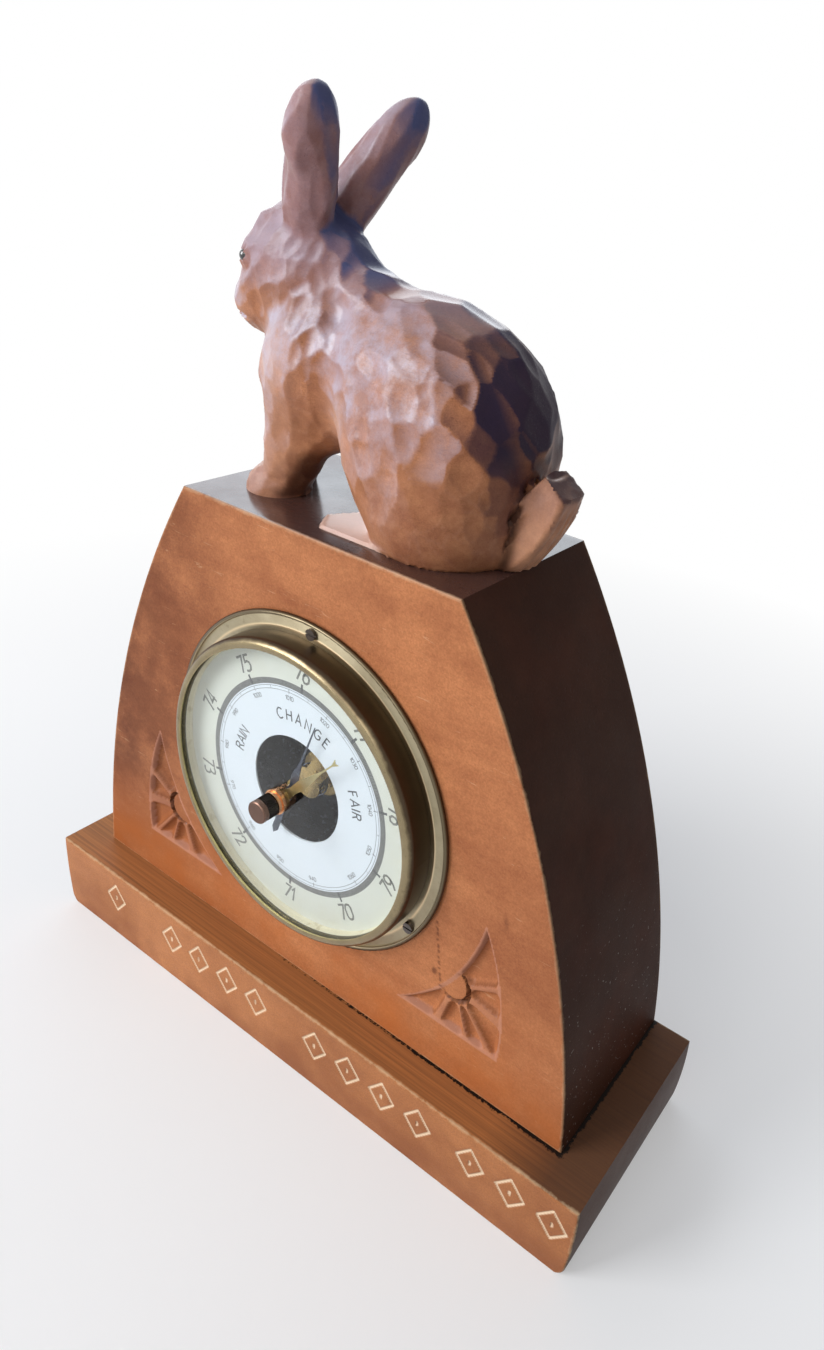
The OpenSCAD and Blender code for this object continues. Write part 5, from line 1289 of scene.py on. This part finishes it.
class Ribbons:
    # flat strips on the dial in mm from its centre, gathered into one mesh; rise lifts a strip over others
    def __init__(self):
        self.points = []
        self.faces = []

    def strip(self, left, right, rise):
        # left and right are the rows of (x, y) along its two edges
        start = sum(len(p) for p in self.points)
        flat = np.stack([left, right], 1).reshape(-1, 2)
        self.points.append(np.column_stack([flat, np.full(len(flat), rise)]))
        k = start + 2 * np.arange(len(left) - 1)
        self.faces += np.stack([k, k + 1, k + 3, k + 2], 1).tolist()

    def line(self, path, width, rise=0.0):
        # a polyline with mitred joints
        path = np.array(path, float)
        step = np.diff(path, axis=0)
        step /= np.linalg.norm(step, axis=1, keepdims=True)
        side = np.stack([-step[:, 1], step[:, 0]], 1)
        joint = np.concatenate([side[:1], side[:-1] + side[1:], side[-1:]])
        joint /= np.maximum((joint ** 2).sum(1, keepdims=True), 0.5) / np.concatenate(
            [[[1]], np.full((len(side) - 1, 1), 2.0), [[1]]])
        self.strip(path + joint * width / 2, path - joint * width / 2, rise)

    def ring(self, inner, outer):
        t = np.linspace(0, 2 * math.pi, 361)
        circle = np.stack([np.cos(t), np.sin(t)], 1)
        self.strip(circle * inner, circle * outer, 0.0)

    def ray(self, turn, inner, outer, width, rise):
        # a tick; turn is in degrees clockwise from the top
        a = math.radians(90 - turn)
        out = np.array([math.cos(a), math.sin(a)])
        self.line([out * inner, out * outer], width, rise)

    def word(self, text, turn, radius, height, width, gap, slant=0.0, squeeze=1.0):
        # letters stand on an arc with the middle of the word at the turn, head outward, or inward where
        # the dial would turn them over
        flip = -1 if scale["flipFrom"] < turn % 360 < scale["flipTo"] else 1
        total = sum(strokes[c][0] for c in text) * squeeze + gap * (len(text) - 1)
        at = -total / 2
        for c in text:
            wide, rows = strokes[c]
            middle = math.radians(90 - turn) - flip * (at + wide * squeeze / 2) * height / radius
            out = np.array([math.cos(middle), math.sin(middle)])
            right = np.array([out[1], -out[0]]) * flip
            for row in rows:
                row = np.array(row, float)
                x = ((row[:, :1] - wide / 2) * squeeze + slant * (row[:, 1:] - 0.5)) * height
                y = radius + flip * (row[:, 1:] - 0.5) * height
                self.line(right * x + out * y, width)
            at += wide * squeeze + gap

    def build(self, name, material, over=0.02):
        # over is the height of the print above the dial's face
        flat = np.concatenate(self.points)
        out = faceY - dialFace - (over + flat[:, 2]) * mm
        points = np.stack([flat[:, 0] * mm, out, dialUp + flat[:, 1] * mm], 1)
        mesh = newMesh(name, points, self.faces)
        obj = link(name, mesh)
        turned = [i for i, face in enumerate(mesh.polygons) if face.normal.y > 0]
        with editing(mesh) as work:
            work.faces.ensure_lookup_table()
            bmesh.ops.reverse_faces(work, faces=[work.faces[i] for i in turned])
        paint(obj, material)
        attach(obj, "case")


scale = dict(first=70, turn=147.3, step=36.0, ticks=50, bandIn=36.4, bandOut=38.5, markOut=39.9,
             numeralR=43.6, numeralH=5.4, numeralW=0.78, wordR=26.6, wordH=3.7, wordW=0.5,
             smallR=32.8, smallH=1.45, smallW=0.2, circles=(35.9, 34.8), flipFrom=96, flipTo=264,
             markW=0.85, tickW=0.14, longW=0.2,
             words=(("RAIN", -72, 0.22), ("CHANGE", 6, 0.5), ("FAIR", 75.5, 0.3)),
             small=(188, 213), mercury=0.750062)  # a unit of the outer scale is 1 cm of mercury


def reading(value):
    return scale["turn"] + scale["step"] * (value - scale["first"])


def makeInk(name, color, fade):
    # fade is the colour where the print has worn
    material, tree, shader = newMaterial(name)
    wear = remap(tree, noise(tree, objectCoords(tree), 600, 4, 0.7), 0.3, 0.75)
    feed(tree, shader, {"Base Color": mixColor(tree, wear, color, fade), "Roughness": 0.5})
    return material


def makeDialPrint():
    dark = makeInk("darkInk", (0.035, 0.038, 0.05, 1), (0.09, 0.095, 0.11, 1))
    grey = makeInk("greyInk", (0.13, 0.13, 0.12, 1), (0.22, 0.215, 0.195, 1))
    band = Ribbons()
    band.ring(scale["bandIn"], scale["bandOut"])
    band.build("dialBand", makeInk("bandInk", (0.19, 0.19, 0.185, 1), (0.26, 0.255, 0.24, 1)), 0.012)
    fine = Ribbons()
    for k in range(10 * scale["ticks"]):
        turn = reading(scale["first"]) + k * scale["step"] / scale["ticks"]
        fine.ray(turn, scale["bandIn"] + 0.1, scale["bandOut"] - 0.1, scale["tickW"], 0.004)
    outer, inner = scale["circles"]
    half = scale["tickW"] / 2
    for circle in (outer, inner):
        fine.ring(circle - half, circle + half)
    # the smaller scale, in steps of 5 hectopascals, numbered at every second one
    for k in range(*scale["small"]):
        turn = reading(scale["mercury"] * k / 2)
        if k % 2:
            fine.ray(turn, inner, outer, scale["tickW"], 0.002)
        else:
            fine.ray(turn, inner - 0.5, outer, scale["longW"], 0.002)
            fine.word(str(5 * k), turn, scale["smallR"], scale["smallH"], scale["smallW"], 0.2)
    for text, middle, gap in scale["words"]:
        fine.word(text, middle, scale["wordR"], scale["wordH"], scale["wordW"], gap)
    fine.build("dialFine", dark)
    bold, marks = Ribbons(), Ribbons()
    for value in range(scale["first"], scale["first"] + 10):
        turn = reading(value)
        bold.word(str(value), turn, scale["numeralR"], scale["numeralH"], scale["numeralW"], 0.14, 0.1, 0.86)
        marks.ray(turn, scale["bandIn"], scale["markOut"], scale["markW"], 0.006)
    bold.build("dialNumerals", grey)
    marks.build("dialMarks", makeInk("markInk", (0.07, 0.07, 0.075, 1), (0.12, 0.12, 0.12, 1)))


makeDialPrint()
print("dial made")


# floor, world, lamps and camera

backdrop = dict(half=3, drop=0.02 * mm, white=(1, 1, 1, 1), fade=(0.15, 0.5, 0.35, 1.0), strength=0.55,
                skyLow=(0.60, 0.56, 0.52, 1), skyHigh=(0.82, 0.88, 1.0, 1))


def seenRays(tree):
    # rays that see the backdrop: the camera's, and those mirrored or let through on the way
    path = tree.nodes.new("ShaderNodeLightPath").outputs
    mirrored = calc(tree, "MAXIMUM", path["Is Glossy Ray"], path["Is Transmission Ray"])
    return calc(tree, "MAXIMUM", path["Is Camera Ray"], mirrored)


def makeFloor(spec):
    # a paper floor that turns into the white backdrop away from the object
    corners = np.array([[-1, -1, 0], [1, -1, 0], [1, 1, 0], [-1, 1, 0]], float)
    mesh = newMesh("floor", corners * spec["half"] - [0, 0, spec["drop"]], [[0, 1, 2, 3]])
    floor = link("floor", mesh)
    material, tree, shader = newMaterial("floorPaper")
    here = objectCoords(tree)
    tone = remap(tree, noise(tree, here, 4, 2, 0.5), 0.3, 0.7, 0.86, 0.9)
    feed(tree, shader, {"Base Color": gray(tree, tone), "Roughness": 0.9, "Specular IOR Level": 0.1})
    away = vectorCalc(tree, "LENGTH", {0: here}, "Value")
    fade = times(tree, remap(tree, away, *spec["fade"]), seenRays(tree))
    mixOver(tree, shader, fade, addNode(tree, "Emission", {"Color": spec["white"], "Strength": 1.0}))
    mesh.materials.append(material)


def makeWorld(spec):
    # white where it is seen; as light it is warm below, blue above and dimmer on the right
    world = bpy.data.worlds.new("room")
    bpy.context.scene.world = world
    world.use_nodes = True
    tree = world.node_tree
    tree.nodes.clear()
    seen = addNode(tree, "Background", {"Color": spec["white"], "Strength": 1.0})
    way = split(tree, tree.nodes.new("ShaderNodeTexCoord").outputs["Generated"])
    sky = mixColor(tree, remap(tree, way[2], -0.2, 0.9), spec["skyLow"], spec["skyHigh"])
    shadow = remap(tree, way[0], -0.4, 0.6, 1.0, 0.3)
    sky = mixColor(tree, 1.0, sky, gray(tree, shadow), "MULTIPLY")
    room = addNode(tree, "Background", {"Color": sky, "Strength": spec["strength"]})
    mix = addNode(tree, "MixShader", {0: seenRays(tree), 1: room.outputs[0], 2: seen.outputs[0]})
    tree.links.new(mix.outputs[0], tree.nodes.new("ShaderNodeOutputWorld").inputs[0])


lamps = [
    dict(name="window", at=(-0.80, -1.0, 0.72), size=(0.7, 0.8), power=17, color=(0.97, 0.98, 1.0)),
    dict(name="sky", at=(-0.95, 0.86, 0.74), size=(1.5, 0.9), power=5.5, color=(0.80, 0.89, 1.0)),
    dict(name="front", at=(0.25, -1.2, 1.0), size=(1.0, 0.6), power=4.5, color=(1.0, 0.96, 0.92))]


def makeLamps():
    aim = Vector((0, 0, 0.17))  # the middle of the object
    for spec in lamps:
        data = bpy.data.lights.new(spec["name"], "AREA")
        data.shape = "RECTANGLE"
        data.size, data.size_y = spec["size"]
        data.energy = spec["power"]
        data.color = spec["color"]
        lamp = link(spec["name"], data)
        lamp.location = spec["at"]
        lamp.rotation_euler = (aim - Vector(spec["at"])).to_track_quat("-Z", "Y").to_euler()


# the camera as solved from the photograph (place in mm), with its picture off centre
cameraSpec = dict(at=(191.84, -201.4, 310.34), lens=25.17, shift=(-0.1254, -0.0938),
                  right=(0.8404, 0.5284, 0.1203), down=(0.2967, -0.2630, -0.9180),
                  ahead=(-0.4535, 0.8072, -0.3778))


def makeCamera(spec):
    data = bpy.data.cameras.new("camera")
    data.sensor_width = 36
    data.sensor_fit = "AUTO"
    data.lens = spec["lens"]
    data.shift_x, data.shift_y = spec["shift"]
    data.clip_start = 0.01
    camera = link("camera", data)
    right, down, ahead = (Vector(spec[k]) for k in ("right", "down", "ahead"))
    turn = Matrix((right, -down, -ahead)).transposed()
    camera.matrix_world = Matrix.Translation(Vector(spec["at"]) * mm) @ turn.to_4x4()
    bpy.context.scene.camera = camera


makeFloor(backdrop)
makeWorld(backdrop)
makeLamps()
makeCamera(cameraSpec)
bpy.context.scene.view_settings.view_transform = "Standard"
print("stage made")
